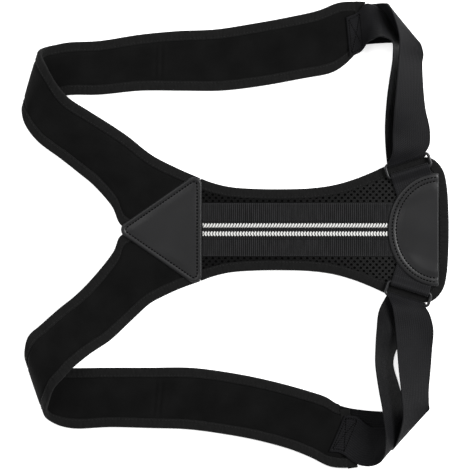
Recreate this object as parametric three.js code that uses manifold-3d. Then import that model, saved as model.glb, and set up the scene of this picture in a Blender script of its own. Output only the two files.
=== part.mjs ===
// Upper-back posture corrector, lying on a table with its outer face up and its straps turned under.
// A padded back panel carries a ribbed centre webbing and two leather patches. A padded strap
// leaves each side of the shoulder patch, turns over at the shoulder and runs back along the table.
// A webbing is sewn to its end, passes through a ring at the lumbar edge and returns to hook on it.
// Millimetres. X runs from the neck to the lumbar edge, +Y is the wearer's right side, Z is up.
import * as THREE from "three";
import { mergeVertices } from "three/addons/utils/BufferGeometryUtils.js";
import Module from "manifold-3d";

// Air between two pieces that are sewn or laid on each other.
const GAP = 0.3;

// Back panel: spacer mesh over foam, from the strap joint to the lumbar edge.
const PANEL_LENGTH = 239;
const PANEL_HALF_WIDTH = 70;
const PAD_THICKNESS = 4.7;
const PAD_EDGE_THICKNESS = 2.6;
const PAD_SHOULDER = 3;

// Folded tape that is sewn over every raw edge.
const BINDING_WIDTH = 9.5;
const BINDING_THICKNESS = 0.7;
const BINDING_CORNER = 0.6;

// Ribbed elastic webbing down the spine, with two reflective stripes woven in.
const SPINE_WEBBING_WIDTH = 51;
const SPINE_WEBBING_THICKNESS = 1.2;
const STRIPE_WIDTH = 3.9;
const STRIPE_THICKNESS = 0.5;
const STRIPE_SPACING = 7.8;

// Leather patches: a triangle over the strap joint and a half-moon at the lumbar edge.
const SHOULDER_PATCH_LENGTH = 84;
const SHOULDER_PATCH_WIDTH = 116;
const SHOULDER_PATCH_CORNER = 8;
const SHOULDER_PATCH_OVERLAP = 2;
const LUMBAR_PATCH_DEPTH = 49;
const LUMBAR_PATCH_WIDTH = 109;
const LEATHER_THICKNESS = 1.3;
const LEATHER_EDGE_ROUND = 0.5;

// Padded shoulder straps.
const STRAP_WIDTH = 60;
const NECK_TAPE_CLEARANCE = 1.2;
const SHOULDER_REACH = 170;
const FRONT_LENGTH = 330;
const LOOP_SPAN = 220;
const SHOULDER_LIFT = 24;

// Side webbing, its hook tab, and the ring that it runs through.
const SIDE_WEBBING_WIDTH = 38;
const SIDE_WEBBING_THICKNESS = 1.2;
const WEBBING_LIFT = 36;
const HOOK_LENGTH = 60;
const HOOK_TAB_LENGTH = 50;
const HOOK_TAB_THICKNESS = 1.4;
const RING_WIRE = 3;
const RING_SLOT = 10;
const RING_SIDE_PLAY = 1;
const RING_TURN = 17.5;
const RING_STATION_SHARE = 0.836;
const RING_INSET = 5.3;
const TAB_THICKNESS = 1;
const TAB_SLOPE_LENGTH = 6;
const TAB_SLACK = 1.2;

// Heights that follow from the sizes above.
const BINDING_HALF = PAD_EDGE_THICKNESS / 2 + GAP + BINDING_THICKNESS;
const PAD_MID_Z = Math.max(BINDING_HALF, PAD_THICKNESS / 2);
const PAD_TOP_Z = 2 * PAD_MID_Z;
const PAD_EDGE_INSET = BINDING_THICKNESS + GAP;
const SPINE_TOP_Z = PAD_TOP_Z + GAP + SPINE_WEBBING_THICKNESS;
const TAB_STACK = GAP + TAB_THICKNESS + GAP + TAB_THICKNESS;
const HOOK_STACK = SIDE_WEBBING_THICKNESS + GAP + HOOK_TAB_THICKNESS + GAP;
const TAB_WRAP = RING_WIRE / 2 + GAP + TAB_THICKNESS / 2;
const SIDE_WRAP = RING_WIRE / 2 + GAP + SIDE_WEBBING_THICKNESS / 2;
const RING_Z = PAD_TOP_Z + GAP + TAB_THICKNESS / 2 + TAB_WRAP;
const LUMBAR_PATCH_TOP_Z = PAD_TOP_Z + TAB_STACK + GAP + LEATHER_THICKNESS;
const RING_BAR_HALF = (RING_SLOT + RING_WIRE) / 2;
const RING_END_HALF = SIDE_WEBBING_WIDTH / 2 + RING_SIDE_PLAY + RING_WIRE / 2;

// Half the panel's outline. along is a share of PANEL_LENGTH, half one of PANEL_HALF_WIDTH.
const PANEL_OUTLINE = [
  { along: 0.0, half: 0.71 },
  { along: 0.045, half: 0.651 },
  { along: 0.12, half: 0.589 },
  { along: 0.22, half: 0.563 },
  { along: 0.34, half: 0.558 },
  { along: 0.446, half: 0.571 },
  { along: 0.536, half: 0.613 },
  { along: 0.62, half: 0.694 },
  { along: 0.694, half: 0.794 },
  { along: 0.754, half: 0.884 },
  { along: 0.833, half: 0.95 },
  { along: 0.895, half: 0.998 },
  { along: 0.928, half: 0.985 },
  { along: 0.954, half: 0.925 },
  { along: 0.979, half: 0.8 },
  { along: 0.992, half: 0.6 },
  { along: 0.998, half: 0.32 },
  { along: 1.0, half: 0.0 },
];

// Each strap from the joint over the shoulder, a row for each section.
// out: its middle towards the neck, a share of SHOULDER_REACH. side: away from the spine, a share
// of LOOP_SPAN. turn: the section's direction in plan, from the neck edge to the arm edge, in
// degrees. width: a share of STRAP_WIDTH. tilt: how far the arm edge is raised, in degrees.
// lift: a share of SHOULDER_LIFT.
const OUTER_RUN = {
  right: [
    { out: 0.165, side: 0.134, turn: 75, width: 1.0, tilt: 0, lift: 0 },
    { out: 0.346, side: 0.166, turn: 65, width: 1.23, tilt: 0, lift: 0 },
    { out: 0.405, side: 0.225, turn: 60, width: 1.05, tilt: 0, lift: 0 },
    { out: 0.501, side: 0.299, turn: 53, width: 0.96, tilt: 2, lift: 0.07 },
    { out: 0.595, side: 0.353, turn: 58, width: 0.94, tilt: 8, lift: 0.27 },
    { out: 0.705, side: 0.413, turn: 57, width: 0.91, tilt: 13, lift: 0.49 },
    { out: 0.822, side: 0.476, turn: 56, width: 0.89, tilt: 15, lift: 0.73 },
    { out: 0.884, side: 0.531, turn: 58, width: 0.89, tilt: 13, lift: 0.88 },
    { out: 0.922, side: 0.584, turn: 65, width: 0.93, tilt: 8, lift: 0.95 },
    { out: 0.947, side: 0.652, turn: 74, width: 0.95, tilt: 0, lift: 0.52 },
  ],
  left: [
    { out: 0.163, side: 0.13, turn: 74, width: 0.98, tilt: 0, lift: 0 },
    { out: 0.349, side: 0.166, turn: 63, width: 1.18, tilt: 0, lift: 0 },
    { out: 0.392, side: 0.213, turn: 57, width: 1.02, tilt: 0, lift: 0 },
    { out: 0.51, side: 0.314, turn: 47, width: 0.92, tilt: 2, lift: 0.08 },
    { out: 0.606, side: 0.385, turn: 52, width: 0.92, tilt: 8, lift: 0.31 },
    { out: 0.71, side: 0.444, turn: 54, width: 0.9, tilt: 13, lift: 0.52 },
    { out: 0.82, side: 0.517, turn: 52, width: 0.89, tilt: 15, lift: 0.78 },
    { out: 0.857, side: 0.545, turn: 56, width: 0.92, tilt: 14, lift: 0.88 },
    { out: 0.894, side: 0.578, turn: 62, width: 0.93, tilt: 11, lift: 0.95 },
    { out: 0.914, side: 0.622, turn: 67, width: 0.96, tilt: 6, lift: 0.88 },
    { out: 0.923, side: 0.678, turn: 71, width: 0.94, tilt: 0, lift: 0.5 },
  ],
};

// The same strap on its way back along the table. back: from the shoulder to its end, a share of
// FRONT_LENGTH. seat: how far the hook end under it raises it, a share of HOOK_STACK.
const FRONT_RUN = {
  right: [
    { back: 0.047, side: 0.672, turn: 77, width: 0.94, lift: 0.12, seat: 0 },
    { back: 0.087, side: 0.687, turn: 84, width: 0.89, lift: 0.01, seat: 0 },
    { back: 0.129, side: 0.702, turn: 89, width: 0.85, lift: 0, seat: 0 },
    { back: 0.223, side: 0.707, turn: 90, width: 0.865, lift: 0, seat: 0 },
    { back: 0.34, side: 0.729, turn: 92, width: 0.9, lift: 0, seat: 0 },
    { back: 0.453, side: 0.737, turn: 94, width: 0.96, lift: 0, seat: 0 },
    { back: 0.57, side: 0.741, turn: 96, width: 0.99, lift: 0, seat: 0 },
    { back: 0.68, side: 0.763, turn: 99, width: 1.01, lift: 0, seat: 0.4 },
    { back: 0.795, side: 0.794, turn: 102, width: 1.01, lift: 0, seat: 1 },
    { back: 0.881, side: 0.822, turn: 102, width: 1.02, lift: 0, seat: 1 },
    { back: 0.929, side: 0.857, turn: 96, width: 0.99, lift: 0, seat: 1 },
    { back: 0.993, side: 0.9, turn: 87, width: 0.71, lift: 0, seat: 1 },
  ],
  left: [
    { back: 0.055, side: 0.707, turn: 75, width: 0.95, lift: 0.14, seat: 0 },
    { back: 0.095, side: 0.729, turn: 82, width: 0.94, lift: 0.02, seat: 0 },
    { back: 0.151, side: 0.736, turn: 90, width: 0.97, lift: 0, seat: 0 },
    { back: 0.253, side: 0.732, turn: 90, width: 0.955, lift: 0, seat: 0 },
    { back: 0.369, side: 0.734, turn: 90, width: 0.97, lift: 0, seat: 0 },
    { back: 0.485, side: 0.737, turn: 93, width: 0.99, lift: 0, seat: 0 },
    { back: 0.602, side: 0.76, turn: 96, width: 0.99, lift: 0, seat: 0 },
    { back: 0.701, side: 0.789, turn: 100, width: 0.98, lift: 0, seat: 0.4 },
    { back: 0.802, side: 0.83, turn: 104, width: 0.98, lift: 0, seat: 1 },
    { back: 0.86, side: 0.862, turn: 104, width: 1.0, lift: 0, seat: 1 },
    { back: 0.904, side: 0.896, turn: 95, width: 1.02, lift: 0, seat: 1 },
    { back: 0.962, side: 0.907, turn: 82, width: 0.98, lift: 0, seat: 1 },
  ],
};

// Each side webbing's end on its strap: its length there, how far it lies towards the spine, and its turn.
const SEWN_ON = {
  right: { length: 18, aside: 6, turn: 0 },
  left: { length: 16.6, aside: 2.3, turn: 18 },
};

// Where each side webbing leaves its strap, placed as the strap's sections are, and how far the
// hooked end under the strap lies towards the spine, a share of SIDE_WEBBING_WIDTH.
const LEAVES_STRAP = {
  right: { back: 0.993, side: 0.9, hookAside: 0 },
  left: { back: 0.968, side: 0.94, hookAside: 0.23 },
};

// Side webbing between the ring and that place, a row for each section. along: from the ring, 0, to
// where it leaves the strap, 1. aside: towards the lumbar edge, a share of SIDE_WEBBING_WIDTH. turn: the
// section's direction in plan, from the edge nearer the neck. raise: how far that edge stands above
// the other, in degrees. lift: its middle, a share of WEBBING_LIFT. stretch: the section's length, a
// share of SIDE_WEBBING_WIDTH, past 1 where it lies slantwise along a fold.
const SEWN_LAYER = {
  right: [
    { along: 0.075, aside: 0.05, turn: 14, raise: 6, lift: 0.16, stretch: 1 },
    { along: 0.23, aside: 0.17, turn: 8, raise: 20, lift: 0.26, stretch: 1 },
    { along: 0.42, aside: 0.3, turn: 3, raise: 46, lift: 0.4, stretch: 1 },
    { along: 0.55, aside: 0.44, turn: 3, raise: 56, lift: 0.46, stretch: 1 },
    { along: 0.7, aside: 0.6, turn: 8, raise: 67, lift: 0.5, stretch: 1 },
    { along: 0.82, aside: 0.62, turn: 27, raise: 77, lift: 0.51, stretch: 1 },
    { along: 0.89, aside: 0.53, turn: 60, raise: 68, lift: 0.52, stretch: 1 },
    { along: 0.94, aside: 0.42, turn: 72, raise: 54, lift: 0.54, stretch: 1 },
    { along: 0.98, aside: 0.24, turn: 84, raise: 30, lift: 0.46, stretch: 1 },
    { along: 0.995, aside: 0.06, turn: 92, raise: 7, lift: 0.35, stretch: 1 },
  ],
  left: [
    { along: 0.1, aside: -0.09, turn: 10, raise: 14, lift: 0.2, stretch: 1 },
    { along: 0.235, aside: -0.085, turn: 9, raise: 39, lift: 0.36, stretch: 1 },
    { along: 0.35, aside: -0.08, turn: 3, raise: 57, lift: 0.46, stretch: 1 },
    { along: 0.44, aside: 0.0, turn: 0, raise: 62, lift: 0.485, stretch: 1 },
    { along: 0.56, aside: 0.27, turn: -8, raise: 58, lift: 0.48, stretch: 1 },
    { along: 0.685, aside: 0.57, turn: -20, raise: 54, lift: 0.49, stretch: 1 },
    { along: 0.81, aside: 0.8, turn: -45, raise: 43, lift: 0.54, stretch: 1 },
    { along: 0.9, aside: 0.94, turn: -47, raise: 28, lift: 0.5, stretch: 1.18 },
    { along: 0.96, aside: 0.57, turn: -68, raise: 6, lift: 0.31, stretch: 1.05 },
    { along: 0.985, aside: 0.21, turn: -72, raise: 0, lift: 0.26, stretch: 1 },
  ],
};

const HOOKED_LAYER = {
  right: [
    { along: 0.055, aside: 0.18, turn: 14, raise: 12, lift: 0.34, stretch: 1 },
    { along: 0.18, aside: 0.33, turn: 5, raise: 18, lift: 0.36, stretch: 1 },
    { along: 0.325, aside: 0.45, turn: 5, raise: 36, lift: 0.43, stretch: 1 },
    { along: 0.49, aside: 0.63, turn: 0, raise: 46, lift: 0.47, stretch: 1 },
    { along: 0.65, aside: 0.82, turn: -4, raise: 51, lift: 0.51, stretch: 1 },
    { along: 0.76, aside: 0.96, turn: -36, raise: 38, lift: 0.58, stretch: 1 },
    { along: 0.91, aside: 0.94, turn: -50, raise: 14, lift: 0.5, stretch: 1.2 },
    { along: 0.945, aside: 0.69, turn: -66, raise: 3, lift: 0.1, stretch: 1.1 },
    { along: 0.97, aside: 0.37, turn: -80, raise: 0, lift: 0.02, stretch: 1.02 },
  ],
  left: [
    { along: 0.05, aside: 0.19, turn: 13, raise: 10, lift: 0.34, stretch: 1 },
    { along: 0.16, aside: 0.43, turn: 3, raise: 13, lift: 0.35, stretch: 1 },
    { along: 0.29, aside: 0.61, turn: 0, raise: 26, lift: 0.39, stretch: 1 },
    { along: 0.415, aside: 0.78, turn: -1, raise: 35, lift: 0.44, stretch: 1 },
    { along: 0.55, aside: 0.97, turn: -8, raise: 44, lift: 0.5, stretch: 1 },
    { along: 0.665, aside: 1.14, turn: -31, raise: 37, lift: 0.54, stretch: 1 },
    { along: 0.775, aside: 1.18, turn: -47, raise: 10, lift: 0.48, stretch: 1.3 },
    { along: 0.82, aside: 0.86, turn: -68, raise: 2, lift: 0.1, stretch: 1.12 },
    { along: 0.86, aside: 0.51, turn: -80, raise: 0, lift: 0.02, stretch: 1.02 },
  ],
};

const STRAP_STEPS = 2;
const WEBBING_STEPS = 2;
const OUTLINE_STEPS = 3;
const RING_SIDES = 8;
const RING_CORNER_STEPS = 3;
const WRAP_STEPS = 6;
const PATCH_CORNER_STEPS = 5;
const PATCH_ARC_STEPS = 28;
const INSET_SPACING = 5;
const INSET_SLACK = 0.02;

const up = new THREE.Vector3(0, 0, 1);
const radians = THREE.MathUtils.degToRad;

function mesh(name, geometry, material) {
  const made = new THREE.Mesh(geometry, material);
  made.name = name;
  return made;
}

function fabric(name, color, roughness) {
  return new THREE.MeshStandardMaterial({ name, color, roughness, metalness: 0 });
}

const velour = fabric("brushed loop velour", 0x101010, 1);
const spacerMesh = fabric("spacer mesh", 0x151515, 0.95);
const bindingTape = fabric("nylon binding tape", 0x1e1e1e, 0.85);
const nylonWebbing = fabric("nylon webbing", 0x2b2b2b, 0.7);
const ribbedElastic = fabric("ribbed elastic webbing", 0x222222, 0.8);
const reflectiveYarn = fabric("reflective yarn", 0xd9dad8, 0.45);
const leather = fabric("coated leather", 0x343434, 0.5);
const ringPlastic = fabric("moulded acetal ring", 0x2d2d2d, 0.4);
const hookTape = fabric("hook tape", 0x161616, 0.9);

// A geometry from corner points and triangles, turned so that its faces point out.
function closedBody(points, triangles) {
  let volume = 0;
  const cross = new THREE.Vector3();
  for (const [a, b, c] of triangles) {
    volume += points[a].dot(cross.crossVectors(points[b], points[c]));
  }
  const index = triangles.flatMap(([a, b, c]) => (volume < 0 ? [a, c, b] : [a, b, c]));
  const geometry = new THREE.BufferGeometry().setFromPoints(points);
  geometry.setIndex(index);
  geometry.computeVertexNormals();
  return geometry;
}

// The triangles of a flat polygon, each turning the way that the polygon does.
function capTriangles(polygon) {
  const turn = Math.sign(THREE.ShapeUtils.area(polygon));
  return THREE.ShapeUtils.triangulateShape(polygon, []).map(([a, b, c]) => {
    const same = Math.sign(THREE.ShapeUtils.area([polygon[a], polygon[b], polygon[c]])) === turn;
    return same ? [a, b, c] : [a, c, b];
  });
}

// Skins a row of sections, each the same closed polygon moved along. A ring joins the last section
// to the first, and anything else is capped at both ends.
function loft(sections, profile, ring = false) {
  const count = profile.length;
  const triangles = [];
  const spans = ring ? sections.length : sections.length - 1;
  for (let s = 0; s < spans; s++) {
    const here = s * count;
    const next = ((s + 1) % sections.length) * count;
    for (let i = 0; i < count; i++) {
      const j = (i + 1) % count;
      triangles.push([here + i, here + j, next + j], [here + i, next + j, next + i]);
    }
  }
  if (!ring) {
    const last = (sections.length - 1) * count;
    for (const [a, b, c] of capTriangles(profile)) {
      triangles.push([c, b, a], [last + a, last + b, last + c]);
    }
  }
  return closedBody(sections.flat(), triangles);
}

function outlineOf(pairs) {
  return pairs.map(([x, y]) => new THREE.Vector2(x, y));
}

// Rungs are the two edge points of a band, on its neck side and its arm side. This spaces more of
// them smoothly between the given ones, none lower than the height at which the band lies flat.
function smoothRungs(rungs, steps, flatZ) {
  const neck = new THREE.CatmullRomCurve3(rungs.map((rung) => rung.neck));
  const arm = new THREE.CatmullRomCurve3(rungs.map((rung) => rung.arm));
  const count = (rungs.length - 1) * steps;
  const raised = (point) => point.setZ(Math.max(point.z, flatZ));
  return Array.from({ length: count + 1 }, (_, i) => ({
    neck: raised(neck.getPoint(i / count)),
    arm: raised(arm.getPoint(i / count)),
  }));
}

// Gives each rung its middle, its directions across and along the band, its length and its normal.
function withFrames(rungs) {
  const middle = rungs.map(({ neck, arm }) => neck.clone().add(arm).multiplyScalar(0.5));
  return rungs.map(({ neck, arm }, i) => {
    const ahead = middle[Math.min(i + 1, rungs.length - 1)].clone();
    ahead.sub(middle[Math.max(i - 1, 0)]).normalize();
    const across = arm.clone().sub(neck);
    const width = across.length();
    across.normalize();
    const normal = across.clone().cross(ahead).normalize();
    return { middle: middle[i], across, ahead, width, normal, neck, arm };
  });
}

function place(frame, fromMiddle, height) {
  const point = frame.middle.clone().addScaledVector(frame.across, fromMiddle);
  return point.addScaledVector(frame.normal, height);
}

function rungAt(middle, across, reach) {
  return {
    neck: middle.clone().addScaledVector(across, -reach),
    arm: middle.clone().addScaledVector(across, reach),
  };
}

// A flat band of even thickness between the rungs.
function band(rungs, thickness) {
  const half = thickness / 2;
  const corners = (w) => [[-w, -half], [w, -half], [w, half], [-w, half]];
  const sections = withFrames(rungs).map((frame) =>
    corners(frame.width / 2).map(([x, h]) => place(frame, x, h)),
  );
  return loft(sections, outlineOf(corners(1)));
}

// A strap's pad: thin where the tape holds its edges and its end, and full between them.
function strapPad(frames) {
  const last = frames.length - 1;
  const polygon = (w, full) => {
    const thin = PAD_EDGE_THICKNESS / 2;
    const armSide = [
      [w - PAD_EDGE_INSET, thin],
      [w - BINDING_WIDTH - GAP, thin],
      [w - BINDING_WIDTH - PAD_SHOULDER, full],
    ];
    const neckSide = armSide.map(([x, h]) => [-x, h]).reverse();
    const top = [...armSide, ...neckSide];
    return [...top, ...top.map(([x, h]) => [x, -h]).reverse()];
  };
  const sections = frames.map((frame, i) => {
    const thickness = i < last - 1 ? PAD_THICKNESS : PAD_EDGE_THICKNESS;
    return polygon(frame.width / 2, thickness / 2).map(([x, h]) => place(frame, x, h));
  });
  sections[last].forEach((p) => p.addScaledVector(frames[last].ahead, -PAD_EDGE_INSET));
  return loft(sections, outlineOf(polygon(STRAP_WIDTH / 2, PAD_THICKNESS / 2)));
}

// Tape folded round an edge. At each station inward points from the edge into the pad.
function tape(stations, width = BINDING_WIDTH) {
  const outer = BINDING_HALF;
  const inner = outer - BINDING_THICKNESS;
  const half = [
    [width, inner],
    [width, outer],
    [BINDING_CORNER, outer],
    [0, outer - BINDING_CORNER],
  ];
  const mirrored = half.map(([c, h]) => [c, -h]).reverse();
  const polygon = [...half, ...mirrored, [BINDING_THICKNESS, -inner], [BINDING_THICKNESS, inner]];
  const sections = stations.map(({ edge, inward, normal }) =>
    polygon.map(([c, h]) => edge.clone().addScaledVector(inward, c).addScaledVector(normal, h)),
  );
  return loft(sections, outlineOf(polygon));
}

// The inward normal at each point of a plan outline, a list of Vector2.
function inwardNormals(outline, closed) {
  const count = outline.length;
  const at = (i) => (closed ? outline[(i + count) % count] : outline[Math.min(Math.max(i, 0), count - 1)]);
  const turn = Math.sign(THREE.ShapeUtils.area(outline));
  return outline.map((_, i) => {
    const along = at(i + 1).clone().sub(at(i - 1)).normalize();
    return new THREE.Vector2(-along.y * turn, along.x * turn);
  });
}

function distanceToOutline(point, outline) {
  const nearest = new THREE.Vector3();
  const from = new THREE.Vector3(point.x, point.y, 0);
  return Math.min(
    ...outline.slice(1).map((end, i) => {
      const start = outline[i];
      const line = new THREE.Line3(new THREE.Vector3(start.x, start.y, 0), new THREE.Vector3(end.x, end.y, 0));
      return line.closestPointToPoint(from, true, nearest).distanceTo(from);
    }),
  );
}

// An open plan outline moved inwards. Points that would cross where it bends are left out, and the
// rest are spaced evenly again.
function insetOutline(outline, distance) {
  const inward = inwardNormals(outline, false);
  const moved = outline.map((p, i) => p.clone().addScaledVector(inward[i], distance));
  const kept = moved.filter((p) => distanceToOutline(p, outline) > distance * (1 - INSET_SLACK));
  const curve = new THREE.CatmullRomCurve3(kept.map((p) => new THREE.Vector3(p.x, p.y, 0)));
  const count = Math.floor(curve.getLength() / INSET_SPACING);
  return curve.getSpacedPoints(count).map((p) => new THREE.Vector2(p.x, p.y));
}

// A plan outline as a solid from z0 to z1, with its upper and lower edges bevelled.
function slab(outline, z0, z1, bevel) {
  const geometry = new THREE.ExtrudeGeometry(new THREE.Shape(outline), {
    depth: z1 - z0 - 2 * bevel,
    bevelThickness: bevel,
    bevelSize: bevel,
    bevelOffset: -bevel,
    bevelSegments: 1,
  });
  return geometry.translate(0, 0, z0 + bevel);
}

const wasm = await Module();
wasm.setup();

function solidOf(geometry) {
  const bare = geometry.clone();
  bare.deleteAttribute("normal");
  bare.deleteAttribute("uv");
  const merged = mergeVertices(bare, 1e-3);
  const vertProperties = merged.attributes.position.array;
  const triVerts = new Uint32Array(merged.index.array);
  return new wasm.Manifold(new wasm.Mesh({ numProp: 3, vertProperties, triVerts }));
}

function geometryOf(solid) {
  const { vertProperties, triVerts } = solid.getMesh();
  const geometry = new THREE.BufferGeometry();
  geometry.setAttribute("position", new THREE.BufferAttribute(vertProperties, 3));
  geometry.setIndex(new THREE.BufferAttribute(triVerts, 1));
  geometry.computeVertexNormals();
  return geometry;
}

// A polygon with its corners rounded by arcs of one radius.
function roundedPolygon(corners, radius, arcSteps) {
  return corners.flatMap((corner, i) => {
    const before = corners[(i + corners.length - 1) % corners.length];
    const after = corners[(i + 1) % corners.length];
    const toBefore = before.clone().sub(corner).normalize();
    const toAfter = after.clone().sub(corner).normalize();
    const half = Math.acos(toBefore.dot(toAfter)) / 2;
    const bisector = toBefore.clone().add(toAfter).normalize();
    const centre = corner.clone().addScaledVector(bisector, radius / Math.sin(half));
    const start = corner.clone().addScaledVector(toBefore, radius / Math.tan(half)).sub(centre);
    const end = corner.clone().addScaledVector(toAfter, radius / Math.tan(half)).sub(centre);
    const sweep = Math.atan2(start.cross(end), start.dot(end));
    return Array.from({ length: arcSteps + 1 }, (_, k) => {
      const spoke = start.clone().rotateAround(new THREE.Vector2(), (sweep * k) / arcSteps);
      return spoke.add(centre);
    });
  });
}

// The panel's outline round the lumbar edge, from past the right strap's joint to past the left one.
function panelOutline() {
  const right = PANEL_OUTLINE.map(
    ({ along, half }) => new THREE.Vector3(along * PANEL_LENGTH, half * PANEL_HALF_WIDTH, 0),
  );
  const left = right.slice(0, -1).reverse().map((p) => new THREE.Vector3(p.x, -p.y, 0));
  const curve = new THREE.CatmullRomCurve3([...right, ...left]);
  const count = (right.length + left.length - 1) * OUTLINE_STEPS;
  const outline = Array.from({ length: count + 1 }, (_, i) => {
    const p = curve.getPoint(i / count);
    return new THREE.Vector2(p.x, p.y);
  });
  const onward = outline[0].clone().sub(outline[1]).setLength(BINDING_WIDTH);
  const beyond = outline[0].clone().add(onward);
  return [beyond, ...outline, new THREE.Vector2(beyond.x, -beyond.y)];
}

// Cuts a solid of the panel off at the strap joint.
function fromJoint(solid) {
  return geometryOf(solid.trimByPlane([1, 0, 0], GAP));
}

// Half the panel's width at a distance from the joint.
function panelHalfWidthAt(x) {
  const share = x / PANEL_LENGTH;
  const i = PANEL_OUTLINE.findIndex((row) => row.along >= share);
  const [low, high] = [PANEL_OUTLINE[i - 1], PANEL_OUTLINE[i]];
  const t = (share - low.along) / (high.along - low.along);
  return THREE.MathUtils.lerp(low.half, high.half, t) * PANEL_HALF_WIDTH;
}

function backPanel() {
  const outline = panelOutline();
  const thin = PAD_EDGE_THICKNESS / 2;
  const full = PAD_THICKNESS / 2;
  const rim = slab(insetOutline(outline, PAD_EDGE_INSET), PAD_MID_Z - thin, PAD_MID_Z + thin, 0);
  const inside = insetOutline(outline, BINDING_WIDTH + GAP);
  const middle = slab(inside, PAD_MID_Z - full, PAD_MID_Z + full, full - thin);
  return fromJoint(solidOf(rim).add(solidOf(middle)));
}

function panelBinding() {
  const outline = panelOutline();
  const inward = inwardNormals(outline, false);
  const stations = outline.map((p, i) => ({
    edge: new THREE.Vector3(p.x, p.y, PAD_MID_Z),
    inward: new THREE.Vector3(inward[i].x, inward[i].y, 0),
    normal: up,
  }));
  return fromJoint(solidOf(tape(stations)));
}

function spineWebbing() {
  const start = SHOULDER_PATCH_OVERLAP + GAP;
  const end = PANEL_LENGTH - BINDING_WIDTH - GAP;
  const half = SPINE_WEBBING_WIDTH / 2;
  const outline = outlineOf([[start, -half], [end, -half], [end, half], [start, half]]);
  return slab(outline, PAD_TOP_Z + GAP, SPINE_TOP_Z, 0);
}

// Each stripe lies on the webbing between the two patches.
function stripe() {
  const start = SHOULDER_PATCH_OVERLAP + 2 * GAP;
  const end = PANEL_LENGTH - BINDING_WIDTH - LUMBAR_PATCH_DEPTH - 2 * GAP;
  const low = (STRIPE_SPACING - STRIPE_WIDTH) / 2;
  const high = low + STRIPE_WIDTH;
  const outline = outlineOf([[start, low], [end, low], [end, high], [start, high]]);
  return slab(outline, SPINE_TOP_Z + GAP, SPINE_TOP_Z + GAP + STRIPE_THICKNESS, 0);
}

function shoulderPatch() {
  const half = SHOULDER_PATCH_WIDTH / 2;
  const side = SHOULDER_PATCH_OVERLAP;
  const corners = outlineOf([[side, -half], [side, half], [side - SHOULDER_PATCH_LENGTH, 0]]);
  const outline = roundedPolygon(corners, SHOULDER_PATCH_CORNER, PATCH_CORNER_STEPS);
  const low = PAD_TOP_Z + GAP;
  return slab(outline, low, low + LEATHER_THICKNESS, LEATHER_EDGE_ROUND);
}

// Half an ellipse up to the lumbar binding, hollowed below where the ring tabs run under it.
function lumbarPatch() {
  const base = PANEL_LENGTH - BINDING_WIDTH - GAP;
  const arc = new THREE.EllipseCurve(base, 0, LUMBAR_PATCH_DEPTH, LUMBAR_PATCH_WIDTH / 2, Math.PI / 2, 1.5 * Math.PI);
  const low = SPINE_TOP_Z + GAP;
  const patch = slab(arc.getPoints(PATCH_ARC_STEPS), low, LUMBAR_PATCH_TOP_Z, LEATHER_EDGE_ROUND);
  const inside = insetOutline(panelOutline(), BINDING_WIDTH + GAP);
  let solid = solidOf(patch).intersect(solidOf(slab(inside, 0, 2 * LUMBAR_PATCH_TOP_Z, 0)));
  const { centre, along, out } = ringFrame();
  const reach = SIDE_WEBBING_WIDTH / 2 + GAP;
  for (const side of [1, -1]) {
    const corners = [[-reach, -tabReach() - GAP], [reach, -tabReach() - GAP], [reach, 0], [-reach, 0]];
    const plan = corners.map(([a, b]) => {
      const p = centre.clone().addScaledVector(out, b - RING_BAR_HALF).addScaledVector(along, a);
      return new THREE.Vector2(p.x, p.y * side);
    });
    const pocket = slab(plan, 0, PAD_TOP_Z + TAB_STACK + GAP, 0);
    solid = solid.subtract(solidOf(pocket));
  }
  return geometryOf(solid);
}

// The joint and then every row of a strap as rungs, in its own side's frame.
function strapRungs(side) {
  const seam = GAP / 2;
  const rung = (x, y, z, row) => {
    const across = new THREE.Vector3(1, 0, 0);
    across.applyAxisAngle(new THREE.Vector3(0, -1, 0), radians(row.tilt ?? 0));
    across.applyAxisAngle(up, radians(row.turn));
    const made = rungAt(new THREE.Vector3(x, y, z), across, (row.width * STRAP_WIDTH) / 2);
    made.neck.y = Math.max(made.neck.y, seam);
    return made;
  };
  const jointHalf = PANEL_OUTLINE[0].half * PANEL_HALF_WIDTH;
  const joint = {
    neck: new THREE.Vector3(0, seam, PAD_MID_Z),
    arm: new THREE.Vector3(0, jointHalf, PAD_MID_Z),
  };
  const outer = OUTER_RUN[side].map((row) => {
    const z = PAD_MID_Z + row.lift * SHOULDER_LIFT;
    return rung(-row.out * SHOULDER_REACH, row.side * LOOP_SPAN, z, row);
  });
  const front = FRONT_RUN[side].map((row) => {
    const z = PAD_MID_Z + row.lift * SHOULDER_LIFT + row.seat * HOOK_STACK;
    return rung(row.back * FRONT_LENGTH - SHOULDER_REACH, row.side * LOOP_SPAN, z, row);
  });
  return [joint, ...outer, ...front];
}

function strapFrames(side) {
  return withFrames(smoothRungs(strapRungs(side), STRAP_STEPS, PAD_MID_Z));
}

// Tape along one edge, up to the tape over the strap's end, and from where it leaves the seam.
function edgeTape(frames, edge) {
  const free = frames.slice(0, -1).filter((frame) => edge === "arm" || frame.neck.y > NECK_TAPE_CLEARANCE);
  return tape(
    free.map((frame) => ({
      edge: frame[edge],
      inward: frame.across.clone().multiplyScalar(edge === "arm" ? -1 : 1),
      normal: frame.normal,
    })),
  );
}

function endTape(frames) {
  const [before, last] = frames.slice(-2);
  const outward = last.normal.clone().cross(last.across);
  const room = [before.neck, before.arm].map((p) => last.neck.clone().sub(p).dot(outward));
  const inward = outward.clone().negate();
  const stations = [last.neck, last.middle, last.arm].map((edge) => ({ edge, inward, normal: last.normal }));
  return tape(stations, Math.min(BINDING_WIDTH, ...room.map((space) => space - GAP)));
}

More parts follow.
